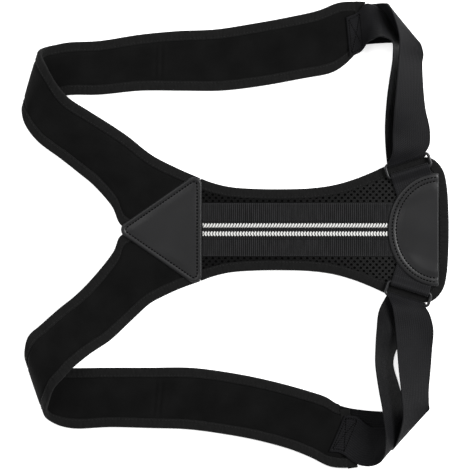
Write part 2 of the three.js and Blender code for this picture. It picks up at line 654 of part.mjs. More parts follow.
// The ring's middle, and the directions along its bars and out of the panel, in a side's frame.
function ringFrame() {
  const turn = radians(RING_TURN);
  const x = RING_STATION_SHARE * PANEL_LENGTH;
  return {
    centre: new THREE.Vector3(x, panelHalfWidthAt(x) - RING_INSET, RING_Z),
    along: new THREE.Vector3(Math.cos(turn), Math.sin(turn), 0),
    out: new THREE.Vector3(-Math.sin(turn), Math.cos(turn), 0),
  };
}

function ring() {
  const { centre, along, out } = ringFrame();
  const corners = outlineOf([
    [-RING_END_HALF, -RING_BAR_HALF],
    [RING_END_HALF, -RING_BAR_HALF],
    [RING_END_HALF, RING_BAR_HALF],
    [-RING_END_HALF, RING_BAR_HALF],
  ]);
  const path = roundedPolygon(corners, RING_WIRE, RING_CORNER_STEPS);
  const inward = inwardNormals(path, true);
  const circle = Array.from({ length: RING_SIDES }, (_, i) => {
    const angle = (2 * Math.PI * (i + 0.5)) / RING_SIDES;
    return new THREE.Vector2(Math.cos(angle), Math.sin(angle)).multiplyScalar(RING_WIRE / 2);
  });
  const sections = path.map((p, i) =>
    circle.map((c) => {
      const q = p.clone().addScaledVector(inward[i], c.x);
      const point = centre.clone().addScaledVector(along, q.x).addScaledVector(out, q.y);
      return point.addScaledVector(up, c.y);
    }),
  );
  return loft(sections, circle, true);
}

// How far a tab runs from the ring's inner bar before its corner would reach the spine webbing.
function tabReach() {
  const { centre } = ringFrame();
  const turn = radians(RING_TURN);
  const barY = centre.y - RING_BAR_HALF * Math.cos(turn);
  const corner = (SIDE_WEBBING_WIDTH / 2) * Math.sin(turn);
  return (barY - corner - SPINE_WEBBING_WIDTH / 2 - GAP) / Math.cos(turn);
}

// Short webbing round the ring's inner bar, with both of its ends under the lumbar patch.
function ringTab() {
  const { centre, along, out } = ringFrame();
  const low = PAD_TOP_Z + GAP + TAB_THICKNESS / 2;
  const high = low + GAP + TAB_THICKNESS;
  const end = -tabReach();
  const path = [[end, low], [-TAB_SLOPE_LENGTH, low]];
  for (let i = 0; i <= WRAP_STEPS; i++) {
    const angle = (Math.PI * i) / WRAP_STEPS - Math.PI / 2;
    path.push([TAB_SLACK + TAB_WRAP * Math.cos(angle), RING_Z + TAB_WRAP * Math.sin(angle)]);
  }
  path.push([0, RING_Z + TAB_WRAP]);
  path.push([-TAB_SLOPE_LENGTH / 2, (RING_Z + TAB_WRAP + high) / 2]);
  path.push([-TAB_SLOPE_LENGTH, high], [end, high]);
  const rungs = path.map(([distance, z]) => {
    const middle = centre.clone().addScaledVector(out, distance - RING_BAR_HALF).setZ(z);
    return rungAt(middle, along, SIDE_WEBBING_WIDTH / 2);
  });
  return band(rungs, TAB_THICKNESS);
}

// A level rung across the strap, at a distance back from its end and a height above the table.
function rungOnStrap(frames, back, z, aside, likeRung) {
  let i = frames.length - 1;
  let left = back;
  while (i > 0 && frames[i].middle.distanceTo(frames[i - 1].middle) < left) {
    left -= frames[i].middle.distanceTo(frames[i - 1].middle);
    i--;
  }
  const middle = frames[i].middle.clone().addScaledVector(frames[i].ahead, -left);
  const across = frames[Math.min(i, frames.length - 3)].across.clone().setZ(0).normalize();
  middle.addScaledVector(across, -aside).setZ(z);
  const same = likeRung.arm.clone().sub(likeRung.neck).dot(across) > 0;
  return rungAt(middle, same ? across : across.negate(), SIDE_WEBBING_WIDTH / 2);
}

// Side webbing: sewn on the strap's end, round the ring's outer bar, and back under the strap.
function sideWebbing(side, frames) {
  const { centre, along, out } = ringFrame();
  const bar = centre.clone().addScaledVector(out, RING_BAR_HALF);
  const half = SIDE_WEBBING_WIDTH / 2;
  const thickness = SIDE_WEBBING_THICKNESS;
  const end = frames[frames.length - 1];
  const leaving = LEAVES_STRAP[side];
  const away = new THREE.Vector3(leaving.back * FRONT_LENGTH - SHOULDER_REACH, leaving.side * LOOP_SPAN, 0);
  const run = away.sub(bar).setZ(0);
  const aside = new THREE.Vector3(run.y, -run.x, 0).normalize();
  const onRow = (row) => {
    const across = new THREE.Vector3(1, 0, 0);
    across.applyAxisAngle(new THREE.Vector3(0, 1, 0), radians(row.raise));
    across.applyAxisAngle(up, radians(row.turn));
    const middle = bar.clone().addScaledVector(run, row.along);
    middle.addScaledVector(aside, row.aside * SIDE_WEBBING_WIDTH);
    middle.setZ(row.lift * WEBBING_LIFT + thickness / 2);
    return rungAt(middle, across, half * row.stretch);
  };
  const wrap = Array.from({ length: WRAP_STEPS + 1 }, (_, i) => {
    const angle = (Math.PI * i) / WRAP_STEPS;
    const middle = bar.clone().addScaledVector(out, -SIDE_WRAP * Math.sin(angle));
    return rungAt(middle.addScaledVector(up, -SIDE_WRAP * Math.cos(angle)), along, half);
  });
  const sewn = SEWN_LAYER[side].map(onRow).reverse();
  const hooked = HOOKED_LAYER[side].map(onRow);
  const sewnZ = end.middle.z + PAD_THICKNESS / 2 + 2 * GAP + thickness / 2;
  const sewnOn = SEWN_ON[side];
  const onStrap = [sewnOn.length, sewnOn.length / 3].map((back) => {
    const rung = rungOnStrap(frames, back, sewnZ, sewnOn.aside, sewn[0]);
    const middle = rung.neck.clone().add(rung.arm).multiplyScalar(0.5);
    const across = rung.arm.clone().sub(rung.neck).normalize().applyAxisAngle(up, radians(sewnOn.turn));
    return rungAt(middle, across, half);
  });
  const lastHooked = hooked[hooked.length - 1];
  const underStrap = [HOOK_LENGTH / 10, HOOK_LENGTH / 2, HOOK_LENGTH].map((back) =>
    rungOnStrap(frames, back, thickness / 2, leaving.hookAside * SIDE_WEBBING_WIDTH, lastHooked),
  );
  const rungs = [...onStrap, ...sewn, ...wrap, ...hooked, ...underStrap];
  return band(smoothRungs(rungs, WEBBING_STEPS, thickness / 2), thickness);
}

function hookTab(side, frames) {
  const end = frames[frames.length - 1];
  const aside = LEAVES_STRAP[side].hookAside * SIDE_WEBBING_WIDTH;
  const z = SIDE_WEBBING_THICKNESS + GAP + HOOK_TAB_THICKNESS / 2;
  const stations = [BINDING_WIDTH, (BINDING_WIDTH + HOOK_TAB_LENGTH) / 2, HOOK_TAB_LENGTH];
  return band(stations.map((back) => rungOnStrap(frames, back, z, aside, end)), HOOK_TAB_THICKNESS);
}

const brace = new THREE.Group();
brace.add(mesh("back_panel", backPanel(), spacerMesh));
brace.add(mesh("panel_binding", panelBinding(), bindingTape));
brace.add(mesh("spine_webbing", spineWebbing(), ribbedElastic));
brace.add(mesh("shoulder_patch", shoulderPatch(), leather));
brace.add(mesh("lumbar_patch", lumbarPatch(), leather));
for (const side of ["right", "left"]) {
  const half = new THREE.Group();
  half.scale.y = side === "right" ? 1 : -1;
  const frames = strapFrames(side);
  half.add(mesh(`stripe_${side}`, stripe(), reflectiveYarn));
  half.add(mesh(`strap_pad_${side}`, strapPad(frames), velour));
  half.add(mesh(`strap_arm_binding_${side}`, edgeTape(frames, "arm"), bindingTape));
  half.add(mesh(`strap_neck_binding_${side}`, edgeTape(frames, "neck"), bindingTape));
  half.add(mesh(`strap_end_binding_${side}`, endTape(frames), bindingTape));
  half.add(mesh(`ring_${side}`, ring(), ringPlastic));
  half.add(mesh(`ring_tab_${side}`, ringTab(), nylonWebbing));
  half.add(mesh(`side_webbing_${side}`, sideWebbing(side, frames), nylonWebbing));
  half.add(mesh(`hook_tab_${side}`, hookTab(side, frames), hookTape));
  brace.add(half);
}

// The origin is under the middle of the brace, on the table.
const extent = new THREE.Box3().setFromObject(brace, true);
const centre = extent.getCenter(new THREE.Vector3());
brace.position.set(-centre.x, -centre.y, -extent.min.z);
const part = new THREE.Group();
part.add(brace);

export default part;
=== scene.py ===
"""An upper-back posture corrector that lies on a table, seen from straight above."""
import math

import bmesh
import bpy
import numpy as np
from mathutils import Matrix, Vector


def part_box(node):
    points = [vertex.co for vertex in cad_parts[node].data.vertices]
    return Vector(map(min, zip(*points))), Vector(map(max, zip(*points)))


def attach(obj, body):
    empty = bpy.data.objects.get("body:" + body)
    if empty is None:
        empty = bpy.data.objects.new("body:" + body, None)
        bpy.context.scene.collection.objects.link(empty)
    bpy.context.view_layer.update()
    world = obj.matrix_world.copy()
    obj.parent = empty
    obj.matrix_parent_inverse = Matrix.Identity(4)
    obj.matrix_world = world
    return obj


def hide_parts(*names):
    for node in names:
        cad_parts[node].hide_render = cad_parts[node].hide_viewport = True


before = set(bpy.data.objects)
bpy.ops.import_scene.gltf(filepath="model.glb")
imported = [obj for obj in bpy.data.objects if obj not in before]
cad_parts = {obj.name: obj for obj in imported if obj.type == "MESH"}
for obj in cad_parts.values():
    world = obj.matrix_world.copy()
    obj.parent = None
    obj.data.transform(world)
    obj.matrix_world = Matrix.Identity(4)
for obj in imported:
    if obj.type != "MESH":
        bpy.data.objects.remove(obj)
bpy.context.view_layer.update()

# Sizes of the brace, in metres.
GAP = 0.0003
TABLE_PLAY = 0.00002
PANEL_LENGTH = 0.239
PANEL_HALF_WIDTH = 0.070
PAD_THICKNESS = 0.0047
PAD_EDGE_THICKNESS = 0.0026
PAD_MIDDLE = PAD_THICKNESS / 2
PAD_PUFF = 0.0005
TAPE_WIDTH = 0.0095
TAPE_THICKNESS = 0.0007
TAPE_HALF = PAD_EDGE_THICKNESS / 2 + GAP + TAPE_THICKNESS
PAD_INSET = TAPE_THICKNESS + GAP
SPINE_WIDTH = 0.051
SPINE_THICKNESS = 0.0012
SPINE_TOP = PAD_THICKNESS + GAP + SPINE_THICKNESS
STRIPE_WIDTH = 0.0039
STRIPE_THICKNESS = 0.0005
STRIPE_SPACING = 0.0078
STRIPE_TWILL = 0.0028
PATCH_OVERLAP = 0.002
PATCH_LENGTH = 0.084
PATCH_WIDTH = 0.116
PATCH_CORNER = 0.008
LUMBAR_DEPTH = 0.049
LUMBAR_WIDTH = 0.109
LEATHER_THICKNESS = 0.0013
STRAP_WIDTH = 0.060
SHOULDER_REACH = 0.170
FRONT_LENGTH = 0.330
LOOP_SPAN = 0.220
SHOULDER_LIFT = 0.024
WEBBING_WIDTH = 0.038
WEBBING_THICKNESS = 0.0012
WEBBING_LIFT = 0.036
HOOK_LENGTH = 0.060
HOOK_TAB_LENGTH = 0.050
HOOK_TAB_THICKNESS = 0.0014
HOOK_STACK = WEBBING_THICKNESS + HOOK_TAB_THICKNESS + 2 * GAP
RING_WIRE = 0.003
RING_SLOT = 0.010
RING_PLAY = 0.001
RING_TURN = 17.5
RING_STATION = 0.836
RING_INSET = 0.0053
RING_BAR = (RING_SLOT + RING_WIRE) / 2
RING_END = WEBBING_WIDTH / 2 + RING_PLAY + RING_WIRE / 2
TAB_THICKNESS = 0.001
TAB_SLOPE = 0.006
TAB_SLACK = 0.0012
TAB_WRAP = RING_WIRE / 2 + GAP + TAB_THICKNESS / 2
SIDE_WRAP = RING_WIRE / 2 + GAP + WEBBING_THICKNESS / 2
RING_Z = PAD_THICKNESS + GAP + TAB_THICKNESS / 2 + TAB_WRAP
STITCH_PITCH = 0.0032
STITCH_LENGTH = 0.0022
STITCH_RADIUS = 0.00032
SEAM_INSET = TAPE_WIDTH - 0.0016
SELVAGE_PITCH = 0.0032
RIB_PITCH = 0.0019
RIB_HEIGHT = 0.00028
SELVAGE = 0.0022
DOTTED_ZONE = 0.0095
STRIPE_SERRATION = 0.00042
DOT_PITCH = 0.0011
SELVAGE_HEIGHT = 0.00022
HEM_ROLL = 0.0006
SEAM_GROOVE = 0.00014
CREASE_X = -0.042
CREASE_SPACING = 0.0055
CREASE_DEPTH = 0.0010
CREASE_WIDTH = 0.0016
CREASE_LEAN = 0.09
# The span of the side webbing, measured along it from the ring, where painted shade darkens its sewn layer.
SHADED_LAYER_START = -0.115
SHADED_LAYER_STOP = -0.004
CELL_LENGTH = 0.00605
CELL_WIDTH = 0.0061
HOLE_LENGTH = 0.00145
HOLE_WIDTH = 0.0013
YARN_THICKNESS = 0.0007

# The strap joint's place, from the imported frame.
JOINT_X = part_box("spine_webbing")[0].x - PATCH_OVERLAP - GAP
SPINE_Y = (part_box("spine_webbing")[0].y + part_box("spine_webbing")[1].y) / 2

# What the photograph frames.
VIEW_CENTRE = (-0.0004, -0.0002)
VIEW_WIDTH = 0.4512
VIEW_LENS = 400

# Half the panel's outline: along, a share of its length, and half, a share of its half width.
PANEL_OUTLINE = [
    (0.0, 0.71), (0.045, 0.651), (0.12, 0.589), (0.22, 0.563), (0.34, 0.558), (0.446, 0.571),
    (0.536, 0.613), (0.62, 0.694), (0.694, 0.794), (0.754, 0.884), (0.833, 0.95), (0.895, 0.998),
    (0.928, 0.985), (0.954, 0.925), (0.979, 0.8), (0.992, 0.6), (0.998, 0.32), (1.0, 0.0),
]

# A strap from the joint to the shoulder: out, side, turn, width, tilt and lift of each section.
OUTER_RUN = {
    "right": [
        (0.165, 0.134, 75, 1.0, 0, 0), (0.346, 0.166, 65, 1.23, 0, 0), (0.405, 0.225, 60, 1.05, 0, 0),
        (0.501, 0.299, 53, 0.96, 2, 0.07), (0.595, 0.353, 58, 0.94, 8, 0.27),
        (0.705, 0.413, 57, 0.91, 13, 0.49), (0.822, 0.476, 56, 0.89, 15, 0.73),
        (0.884, 0.531, 58, 0.89, 13, 0.88), (0.922, 0.584, 65, 0.93, 8, 0.95),
        (0.947, 0.652, 74, 0.95, 0, 0.52),
    ],
    "left": [
        (0.163, 0.13, 74, 0.98, 0, 0), (0.349, 0.166, 63, 1.18, 0, 0), (0.392, 0.213, 57, 1.02, 0, 0),
        (0.51, 0.314, 47, 0.92, 2, 0.08), (0.606, 0.385, 52, 0.92, 8, 0.31),
        (0.71, 0.444, 54, 0.9, 13, 0.52), (0.82, 0.517, 52, 0.89, 15, 0.78),
        (0.857, 0.545, 56, 0.92, 14, 0.88), (0.894, 0.578, 62, 0.93, 11, 0.95),
        (0.914, 0.622, 67, 0.96, 6, 0.88), (0.923, 0.678, 71, 0.94, 0, 0.5),
    ],
}

# The strap's way back along the table: back, side, turn, width, lift and seat of each section.
FRONT_RUN = {
    "right": [
        (0.047, 0.672, 77, 0.94, 0.12, 0), (0.087, 0.687, 84, 0.89, 0.01, 0),
        (0.129, 0.702, 89, 0.85, 0, 0), (0.223, 0.707, 90, 0.865, 0, 0), (0.34, 0.729, 92, 0.9, 0, 0),
        (0.453, 0.737, 94, 0.96, 0, 0), (0.57, 0.741, 96, 0.99, 0, 0), (0.68, 0.763, 99, 1.01, 0, 0.4),
        (0.795, 0.794, 102, 1.01, 0, 1), (0.881, 0.822, 102, 1.02, 0, 1), (0.929, 0.857, 96, 0.99, 0, 1),
        (0.993, 0.9, 87, 0.71, 0, 1),
    ],
    "left": [
        (0.055, 0.707, 75, 0.95, 0.14, 0), (0.095, 0.729, 82, 0.94, 0.02, 0),
        (0.151, 0.736, 90, 0.97, 0, 0), (0.253, 0.732, 90, 0.955, 0, 0), (0.369, 0.734, 90, 0.97, 0, 0),
        (0.485, 0.737, 93, 0.99, 0, 0), (0.602, 0.76, 96, 0.99, 0, 0), (0.701, 0.789, 100, 0.98, 0, 0.4),
        (0.802, 0.83, 104, 0.98, 0, 1), (0.86, 0.862, 104, 1.0, 0, 1), (0.904, 0.896, 95, 1.02, 0, 1),
        (0.962, 0.907, 82, 0.98, 0, 1),
    ],
}

# Each side webbing's end on its strap: its length there, how far towards the spine, and its turn.
SEWN_ON = {"right": (0.018, 0.006, 0), "left": (0.0166, 0.0023, 18)}

# Where each side webbing leaves its strap, and how far its hooked end lies towards the spine.
LEAVES_STRAP = {"right": (0.993, 0.9, 0), "left": (0.968, 0.94, 0.23)}

# The side webbing from the ring to where it leaves the strap: along, aside, turn, raise, lift and stretch.
SEWN_LAYER = {
    "right": [
        (0.075, 0.05, 14, 6, 0.16, 1), (0.23, 0.17, 8, 20, 0.26, 1), (0.42, 0.3, 3, 46, 0.4, 1),
        (0.55, 0.44, 3, 56, 0.46, 1), (0.7, 0.6, 8, 67, 0.5, 1), (0.82, 0.62, 27, 77, 0.51, 1),
        (0.89, 0.53, 60, 68, 0.52, 1), (0.94, 0.42, 72, 54, 0.54, 1), (0.98, 0.24, 84, 30, 0.46, 1),
        (0.995, 0.06, 92, 7, 0.35, 1),
    ],
    "left": [
        (0.1, -0.09, 10, 14, 0.2, 1), (0.235, -0.085, 9, 39, 0.36, 1), (0.35, -0.08, 3, 57, 0.46, 1),
        (0.44, 0.0, 0, 62, 0.485, 1), (0.56, 0.27, -8, 58, 0.48, 1), (0.685, 0.57, -20, 54, 0.49, 1),
        (0.81, 0.8, -45, 43, 0.54, 1), (0.9, 0.94, -47, 28, 0.5, 1.18), (0.96, 0.57, -68, 6, 0.31, 1.05),
        (0.985, 0.21, -72, 0, 0.26, 1),
    ],
}
HOOKED_LAYER = {
    "right": [
        (0.055, 0.18, 14, 12, 0.34, 1), (0.18, 0.33, 5, 18, 0.36, 1), (0.325, 0.45, 5, 36, 0.43, 1),
        (0.49, 0.63, 0, 46, 0.47, 1), (0.65, 0.82, -4, 51, 0.51, 1), (0.76, 0.96, -36, 38, 0.58, 1),
        (0.91, 0.94, -50, 14, 0.5, 1.2), (0.945, 0.69, -66, 3, 0.1, 1.1), (0.97, 0.37, -80, 0, 0.02, 1.02),
    ],
    "left": [
        (0.05, 0.19, 13, 10, 0.34, 1), (0.16, 0.43, 3, 13, 0.35, 1), (0.29, 0.61, 0, 26, 0.39, 1),
        (0.415, 0.78, -1, 35, 0.44, 1), (0.55, 0.97, -8, 44, 0.5, 1), (0.665, 1.14, -31, 37, 0.54, 1),
        (0.775, 1.18, -47, 10, 0.48, 1.3), (0.82, 0.86, -68, 2, 0.1, 1.12), (0.86, 0.51, -80, 0, 0.02, 1.02),
    ],
}


# Materials.
def linear(hex_colour):
    """An sRGB hex colour as linear RGBA."""
    parts = [int(hex_colour[i : i + 2], 16) / 255 for i in (1, 3, 5)]
    return [p / 12.92 if p <= 0.04045 else ((p + 0.055) / 1.055) ** 2.4 for p in parts] + [1]


def add(material, kind, *links, out=0, **named):
    """Adds a node with its settings and links, and gives one of its outputs.

    A kind in capitals is a sum, which a Math node does. links fill its inputs in order, None leaving
    one as it is. A name with a capital is an input, and any other a setting. An input takes a value,
    or the output of another node.
    """
    if kind.isupper():
        kind, named["operation"] = "Math", kind
    node = material.node_tree.nodes.new("ShaderNode" + kind)
    inputs = list(enumerate(links))
    for key, value in named.items():
        if key[0].isupper():
            inputs.append((key.replace("_", " "), value))
        else:
            setattr(node, key, value)
    for place, value in inputs:
        if isinstance(value, bpy.types.NodeSocket):
            material.node_tree.links.new(value, node.inputs[place])
        elif value is not None:
            node.inputs[place].default_value = value
    return node.outputs[out] if node.outputs else node


def new_material(name, roughness, sheen=0.0, specular=0.4):
    """A material with a plain shader, whose colour and relief are still to come."""
    material = bpy.data.materials.new(name)
    material.use_nodes = True
    material.node_tree.nodes.clear()
    shader = add(material, "BsdfPrincipled", Roughness=roughness, Specular_IOR_Level=specular,
                 Sheen_Weight=sheen, Sheen_Roughness=0.5)
    add(material, "OutputMaterial", shader)
    return material, shader.node


def coloured(material, shader, shade, dark, light, relief=None, depth=0.0, strength=1.0):
    """Gives the shader two colours, mixed by a shade from 0 to 1, and a relief with its depth."""
    colours = [None] * 5 + [linear(dark), linear(light)]
    mixed = add(material, "Mix", shade, *colours, data_type="RGBA", out=2)
    material.node_tree.links.new(mixed, shader.inputs["Base Color"])
    if relief is not None:
        raised = add(material, "Bump", Height=relief, Distance=depth, Strength=strength)
        material.node_tree.links.new(raised, shader.inputs["Normal"])
    return material


def uv_axes(material):
    """Places across and along a cloth piece, in metres."""
    parts = add(material, "SeparateXYZ", add(material, "TexCoord", out="UV")).node.outputs
    return parts[0], parts[1]


def wave(material, position, pitch):
    """A sine from 0 to 1 along a position, once in each pitch."""
    turn = add(material, "MULTIPLY", position, 2 * math.pi / pitch)
    sine = add(material, "SINE", turn)
    return add(material, "MULTIPLY_ADD", sine, 0.5, 0.5)


def twill(material, across_pitch, along_pitch, slant):
    """Threads across and along a tape, leaning by the slant, and their shade with some wear."""
    across, along = uv_axes(material)
    leaning = add(material, "MULTIPLY_ADD", across, slant, along)
    over, side = wave(material, leaning, along_pitch), wave(material, across, across_pitch)
    threads = add(material, "MULTIPLY", over, side)
    worn = add(material, "TexNoise", add(material, "TexCoord", out="Object"), Scale=60.0)
    both = add(material, "ADD", threads, worn)
    return threads, add(material, "MULTIPLY", both, 0.6)


# The scale of noise and grain is in specks to a metre: 1000 gives one to each millimetre.
def pile(name, dark, light, roughness, sheen, grain, depth, specular=0.04):
    """Brushed or knitted cloth: a fine nap with soft lighter and darker places."""
    material, shader = new_material(name, roughness, sheen, specular)
    where = add(material, "TexCoord", out="Object")
    fine = add(material, "TexNoise", where, Scale=grain, Detail=3.0)
    soft = add(material, "TexNoise", where, Scale=45.0)
    both = add(material, "MULTIPLY", fine, soft)
    shade = add(material, "MULTIPLY", both, 2.2)
    return coloured(material, shader, shade, dark, light, fine, depth)


def weave(name, dark, light, roughness, across_pitch, along_pitch, slant, depth, specular=0.1):
    """Woven tape or laid thread, with the slant turning its threads into a twill."""
    material, shader = new_material(name, roughness, 0.03, specular)
    threads, shade = twill(material, across_pitch, along_pitch, slant)
    return coloured(material, shader, shade, dark, light, threads, depth)


def tape_finish():
    """Polyester tape, woven and folded: dull, with small wrinkles from its sewing."""
    material, shader = new_material("binding_tape", 0.85, 0.03, 0.07)
    across, along = uv_axes(material)
    over, side = wave(material, across, 0.0009), wave(material, along, 0.0006)
    threads = add(material, "MULTIPLY", over, side)
    narrow = add(material, "MULTIPLY", across, 0.4)
    wrinkles = add(material, "TexNoise", add(material, "CombineXYZ", narrow, along), Scale=420.0)
    both = add(material, "ADD", threads, wrinkles)
    shade = add(material, "MULTIPLY", both, 0.75)
    return coloured(material, shader, shade, "#030303", "#161616", wrinkles, 0.0008, 0.8)


def webbing_finish():
    """Nylon webbing, woven in a twill: satin, with painted shade darkening its sewn layer between the ring
    and the strap.
    """
    material, shader = new_material("nylon_webbing", 0.6, 0.015, 0.07)
    threads, shade = twill(material, 0.0022, 0.0016, 0.7)
    _, along = uv_axes(material)
    # Painted shade: the sewn layer is darkened towards its dark colour between the ring and the strap, fading
    # in over a few centimetres at each end.
    before_ring = add(material, "SUBTRACT", SHADED_LAYER_STOP, along)
    near_ring = add(material, "MULTIPLY", before_ring, 60.0)
    after_strap = add(material, "SUBTRACT", along, SHADED_LAYER_START)
    near_strap = add(material, "MULTIPLY", after_strap, 30.0)
    in_painted_shade = add(material, "Clamp", add(material, "MINIMUM", near_ring, near_strap))
    painted_shade_factor = add(material, "MULTIPLY_ADD", in_painted_shade, -0.8, 1.0)
    shade = add(material, "MULTIPLY", shade, painted_shade_factor)
    return coloured(material, shader, shade, "#030304", "#131315", threads, 0.0002)


def leather_finish():
    """Coated leather, embossed: a low even gloss over a fine grain."""
    material, shader = new_material("coated_leather", 0.4, 0.0, 0.24)
    where = add(material, "TexCoord", out="Object")
    grain = add(material, "TexVoronoi", where, Scale=1500.0)
    soft = add(material, "TexNoise", where, Scale=30.0)
    return coloured(material, shader, soft, "#0e0e0f", "#171718", grain, 0.00006, 0.5)


def moulded_finish():
    """Acetal, moulded: a satin black with hardly any texture."""
    material, shader = new_material("moulded_ring", 0.35, 0.0, 0.25)
    soft = add(material, "TexNoise", add(material, "TexCoord", out="Object"), Scale=200.0)
    return coloured(material, shader, soft, "#0e0e0f", "#18181a", soft, 0.00003, 0.5)


def stripe_finish():
    """Reflective yarn, woven: bright slanted strands with dark thread between them."""
    material, shader = new_material("reflective_yarn", 0.5, 0.0, 0.2)
    across, along = uv_axes(material)
    slanted = add(material, "SUBTRACT", across, along)
    strands = wave(material, slanted, STRIPE_TWILL)
    fine = add(material, "TexNoise", add(material, "TexCoord", out="Object"), Scale=900.0)
    uneven = add(material, "MULTIPLY_ADD", fine, 0.6, -0.35)
    shade = add(material, "MULTIPLY_ADD", strands, 1.5, uneven)
    return coloured(material, shader, shade, "#4a4a48", "#b8b8b6", fine, 0.0001)


def elastic_finish():
    """Elastic, woven: ribs across it, each a little lighter or darker, and dots by the stripes."""
    material, shader = new_material("ribbed_elastic", 0.75, 0.02, 0.08)
    across, along = uv_axes(material)
    ribs = wave(material, along, RIB_PITCH)
    dots = add(material, "MULTIPLY", ribs, wave(material, across, 0.0019))
    dots = add(material, "MULTIPLY", dots, 2.2)
    beside = add(material, "ABSOLUTE", across)
    ribbed = add(material, "GREATER_THAN", beside, DOTTED_ZONE)
    edge = add(material, "GREATER_THAN", beside, SPINE_WIDTH / 2 - 0.0012)
    pattern = add(material, "Mix", ribbed, None, dots, ribs)
    narrow = add(material, "MULTIPLY", across, 0.12)
    streaks = add(material, "TexNoise", add(material, "CombineXYZ", narrow, along), Scale=420.0)
    shade = add(material, "MULTIPLY", pattern, streaks)
    lighter_edge = add(material, "MULTIPLY", edge, 0.3)
    shade = add(material, "MULTIPLY_ADD", shade, 1.7, lighter_edge)
    return coloured(material, shader, shade, "#030303", "#222223", pattern, 0.0002)


def open_knit_finish():
    """Polyester spacer mesh, knitted: dull yarn that looks closer and darker towards the shoulders."""
    material, shader = new_material("spacer_mesh_yarn", 0.85, 0.03, 0.05)
    where = add(material, "TexCoord", out="Object")
    open_part = add(material, "SUBTRACT", add(material, "SeparateXYZ", where), 0.045)
    open_part = add(material, "MULTIPLY", open_part, 9.0)
    fine = add(material, "TexNoise", where, Scale=1500.0)
    shade = add(material, "MULTIPLY", fine, add(material, "Clamp", open_part))
    shade = add(material, "MULTIPLY", shade, 1.7)
    return coloured(material, shader, shade, "#080808", "#1d1d1d")


# Brushed nylon velour: a matt black nap, softly uneven.
VELOUR = pile("brushed_velour", "#030303", "#0e0e0e", 0.95, 0.05, 2600.0, 0.00025)
# The foam side of the spacer mesh: almost no light comes back through the holes.
FOAM_MESH = pile("spacer_mesh_ground", "#010101", "#050505", 0.95, 0.0, 3000.0, 0.0002, 0.02)
MESH_YARN = open_knit_finish()
TAPE = tape_finish()
# Threads of a millimetre or less are drawn up to 2.2 mm apart, because closer ones wouldn't show.
WEBBING = webbing_finish()
TAB_WEBBING = weave("tab_webbing", "#040405", "#151517", 0.6, 0.0022, 0.0016, 0.7, 0.0002, 0.1)
ELASTIC = elastic_finish()
REFLECTIVE = stripe_finish()
# Nylon hook tape: a dull, rough face of small hooks.
HOOK_TAPE = pile("hook_tape", "#050505", "#101010", 0.8, 0.0, 1500.0, 0.0005)
# Twisted polyester thread: black without gloss in the leather, a little lighter on the tape.
THREAD = weave("sewing_thread", "#000000", "#020202", 0.9, 0.0004, 0.0006, 0.8, 0.00003, 0.0)
LIGHT_THREAD = weave("tape_thread", "#060606", "#151515", 0.6, 0.0004, 0.0006, 0.8, 0.00003)
LEATHER = leather_finish()
MOULDED = moulded_finish()


# Soft shapes, made point by point.
def smoothstep(t):
    t = np.clip(t, 0, 1)
    return t * t * (3 - 2 * t)


def pad_rise(from_edge):
    """How full a pad is, from 0 under its edge tape to 1 inside it."""
    return smoothstep((from_edge - TAPE_WIDTH + 0.0008) / 0.004)


def ripple(u, v, size, seed):
    """A soft uneven surface from -1 to 1, with hollows about the given size apart."""
    draw = np.random.default_rng(seed)
    total = 0
    for _ in range(6):
        angle = draw.uniform(0, 2 * np.pi)
        pitch = size * draw.uniform(0.6, 1.7)
        phase = draw.uniform(0, 2 * np.pi)
        total = total + np.sin(2 * np.pi * (u * np.cos(angle) + v * np.sin(angle)) / pitch + phase)
    return total / 6


def smooth_line(points, steps):
    """A centripetal curve through points, with steps between each two."""
    points = np.asarray(points, float)
    padded = np.vstack([2 * points[0] - points[1], points, 2 * points[-1] - points[-2]])
    made = []
    for i in range(len(points) - 1):
        p0, p1, p2, p3 = padded[i : i + 4]
        d0, d1, d2 = [math.sqrt(max(np.linalg.norm(b - a), 1e-6)) for a, b in ((p0, p1), (p1, p2), (p2, p3))]
        t1 = ((p1 - p0) / d0 - (p2 - p0) / (d0 + d1) + (p2 - p1) / d1) * d1
        t2 = ((p2 - p1) / d1 - (p3 - p1) / (d1 + d2) + (p3 - p2) / d2) * d1
        t = (np.arange(steps + (i == len(points) - 2)) / steps)[:, None]
        cubic = 2 * p1 - 2 * p2 + t1 + t2
        square = -3 * p1 + 3 * p2 - 2 * t1 - t2
        made.append(p1 + t1 * t + square * t**2 + cubic * t**3)
    return np.vstack(made)


def along_of(points):
    """How far along a line each of its points lies."""
    steps = np.linalg.norm(np.diff(points, axis=0), axis=1)
    return np.concatenate([[0], np.cumsum(steps)])


def sampled(places, run, values):
    """The rows of values at places along a run."""
    return np.stack([np.interp(places, run, column) for column in values.T], -1)


def unit(vectors):
    return vectors / np.maximum(np.linalg.norm(vectors, axis=-1, keepdims=True), 1e-12)


